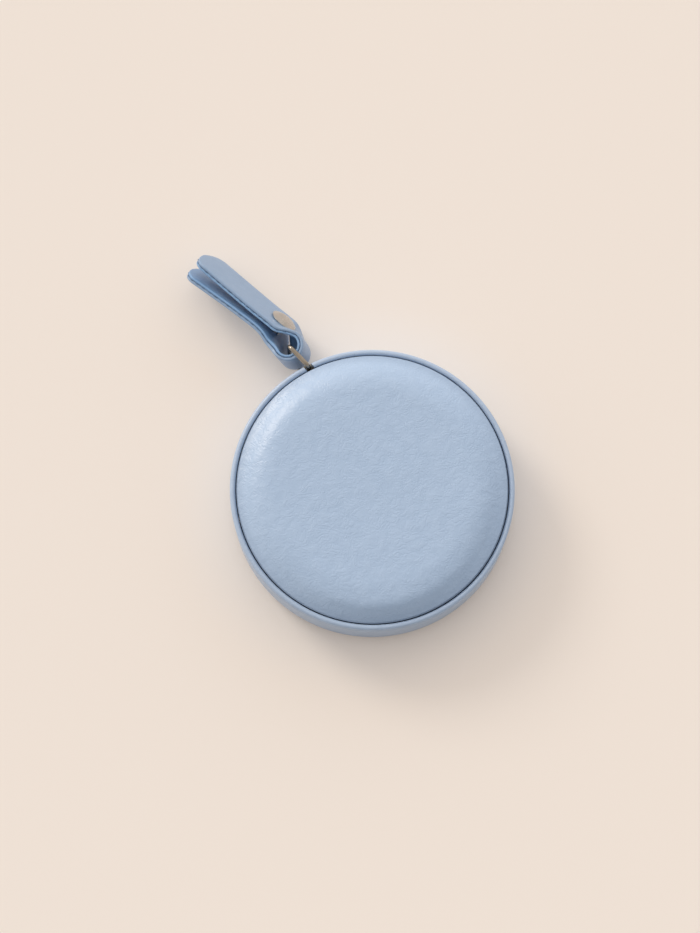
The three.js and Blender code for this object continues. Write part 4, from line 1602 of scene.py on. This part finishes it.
@dataclass
class Studio:
    """The plain floor, the soft light and the camera at the photograph's angle."""

    azimuth_deg: float = -43.4
    elevation_deg: float = 79.4
    distance_m: float = 0.55
    nearest_m: float = 0.01
    frame_height: float = 203.0
    aim_right: float = -4.85
    aim_up: float = 4.85
    aim_z: float = 14.0
    sensor: float = 36.0
    floor_colour: str = "#edebe9"
    floor_roughness: float = 0.95
    floor_specular: float = 0.1
    floor_half_m: float = 3.0
    floor_gap: float = 0.2
    # The colour of the painted glow that lightens the floor's shadows.
    shade_colour: str = "#f2cfa9"
    painted_glow_share: float = 0.32
    painted_glow_reach: float = 16.0
    backdrop_colour: str = "#ece3da"
    backdrop_level: float = 0.78
    backdrop_slope: float = 0.26
    sky_strength: float = 0.82
    sky_slope: float = 0.85
    sky_colour: str = "#fbfcff"
    sky_turn_deg: float = 60.0
    key_turn_deg: float = 92.0
    key_rise_deg: float = 31.0
    key_spread_deg: float = 21.0
    key_strength: float = 1.29
    key_colour: str = "#ffefdc"

    def build(self) -> None:
        """Makes the camera, the floor and the lights."""
        self.build_camera()
        self.build_floor()
        self.build_sky()
        self.build_key()
        bpy.context.scene.view_settings.view_transform = "Standard"

    def aim(self, name: str, data: bpy.types.ID, place: Vector, back: Vector) -> bpy.types.Object:
        """Sets a camera or a lamp in the scene.

        Args:
            name: its name.
            data: the camera or the lamp.
            place: where it stands, in metres.
            back: the direction that it faces away from.

        Returns:
            The new object.
        """
        made = add_object(name, data)
        made.location = place
        made.rotation_mode = "QUATERNION"
        made.rotation_quaternion = (-back).to_track_quat("-Z", "Y")
        return made

    def build_camera(self) -> None:
        """Aims the camera so that the case lies where it does in the photograph."""
        turn, rise = math.radians(self.azimuth_deg), math.radians(self.elevation_deg)
        back = Vector((math.sin(turn) * math.cos(rise), -math.cos(turn) * math.cos(rise), math.sin(rise)))
        right = Vector((math.cos(turn), math.sin(turn), 0.0))
        up = back.cross(right)
        target = Vector((0.0, 0.0, self.aim_z)) + right * self.aim_right + up * self.aim_up
        lens = bpy.data.cameras.new("camera")
        lens.sensor_width = self.sensor
        lens.lens = self.sensor * self.distance_m / (self.frame_height * MM)
        lens.clip_start = self.nearest_m
        place = target * MM + back * self.distance_m
        bpy.context.scene.camera = self.aim("camera", lens, place, back)

    def build_floor(self) -> None:
        """Lays a plain pale floor just under the part, with a painted glow that lightens its shadows."""
        half = self.floor_half_m
        corners = [(-half, -half), (half, -half), (half, half), (-half, half)]
        mesh = bpy.data.meshes.new("floor")
        mesh.from_pydata([(x, y, -self.floor_gap * MM) for x, y in corners], [], [(0, 1, 2, 3)])
        material = bpy.data.materials.new("floor_pale_cloth")
        material.use_nodes = True
        tree = material.node_tree
        add = partial(add_node, tree)
        shader = tree.nodes["Principled BSDF"]
        dull = {"Roughness": self.floor_roughness, "Specular IOR Level": self.floor_specular}
        feed(tree, shader, {"Base Color": linear(self.floor_colour), **dull})
        # Painted light: the camera sees a warm glow on a share of the floor, whatever light falls on it,
        # so that its shadows look pale and warm, in place of light spreading through soft cloth.
        # It fades where the cloth is covered, as right under the case and inside the strap's loop.
        bare = add("ShaderNodeAmbientOcclusion", {"Distance": self.painted_glow_reach * MM}).outputs["AO"]
        share = add("ShaderNodeMath", {0: bare, 1: self.painted_glow_share}, operation="MULTIPLY")
        share = add("ShaderNodeMath", {0: self.seen(tree), 1: share}, operation="MULTIPLY")
        glow = add("ShaderNodeEmission", {"Color": linear(self.shade_colour), "Strength": 1.0})
        cloth = add("ShaderNodeMixShader", {0: share, 1: shader, 2: glow})
        feed(tree, tree.nodes["Material Output"], {"Surface": cloth})
        mesh.materials.append(material)
        add_object("floor", mesh)

    def seen(self, tree: Tree) -> Node:
        """Gives 1 for the rays that show the floor or the backdrop itself, and 0 for those that light.

        Args:
            tree: the node tree of the floor's material or of the world.

        Returns:
            The value's node.
        """
        path = add_node(tree, "ShaderNodeLightPath").outputs
        bounced = {0: path["Is Glossy Ray"], 1: path["Is Transmission Ray"]}
        mirrored = add_node(tree, "ShaderNodeMath", bounced, operation="MAXIMUM")
        return add_node(tree, "ShaderNodeMath", {0: path["Is Camera Ray"], 1: mirrored}, operation="MAXIMUM")

    def build_sky(self) -> None:
        """Sets a pale sky for light, and a backdrop in the floor's colour where the sky itself shows."""
        world = bpy.data.worlds.new("studio")
        world.use_nodes = True
        tree = world.node_tree
        tree.nodes.clear()
        add = partial(add_node, tree)
        window = math.radians(self.sky_turn_deg)
        level = (math.cos(window), math.sin(window), 0.0)
        # The sky brightens towards the lamp, as a room does towards its window.
        around = add("ShaderNodeTexCoord").outputs["Generated"]
        facing = add("ShaderNodeVectorMath", {0: around, 1: level}, operation="DOT_PRODUCT")
        slope = {0: facing, 1: self.sky_slope * self.sky_strength, 2: self.sky_strength}
        strength = add("ShaderNodeMath", slope, operation="MULTIPLY_ADD")
        sky = add("ShaderNodeBackground", {"Color": linear(self.sky_colour), "Strength": strength})
        slope = {0: facing, 1: self.backdrop_slope, 2: self.backdrop_level}
        strength = add("ShaderNodeMath", slope, operation="MULTIPLY_ADD")
        backdrop = add("ShaderNodeBackground", {"Color": linear(self.backdrop_colour), "Strength": strength})
        mixed = add("ShaderNodeMixShader", {0: self.seen(tree), 1: sky, 2: backdrop})
        add("ShaderNodeOutputWorld", {"Surface": mixed})
        bpy.context.scene.world = world

    def build_key(self) -> None:
        """Sets one wide soft lamp, far off to the upper left of the photograph."""
        turn, rise = math.radians(self.key_turn_deg), math.radians(self.key_rise_deg)
        way = Vector((math.cos(turn) * math.cos(rise), math.sin(turn) * math.cos(rise), math.sin(rise)))
        lamp = bpy.data.lights.new("key", "SUN")
        lamp.angle = math.radians(self.key_spread_deg)
        lamp.energy = self.key_strength
        lamp.color = linear(self.key_colour)[:3]
        self.aim("key", lamp, way, way)


def main() -> None:
    """Loads the frame, and builds each sub-assembly in turn."""
    logging.basicConfig(level=logging.INFO, format="%(name)s: %(message)s")
    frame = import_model()
    tape = TapeLine()
    for assembly in (
        Studio(),
        FrontCover(),
        BackCover(),
        RimBand(),
        Shells(frame),
        Reel(frame, tape),
        Brake(frame),
        TapeEnd(frame, tape),
        PullRing(),
        PullStrap(tape),
    ):
        log.info("building %s", type(assembly).__name__)
        assembly.build()


if __name__ == "__main__":
    main()
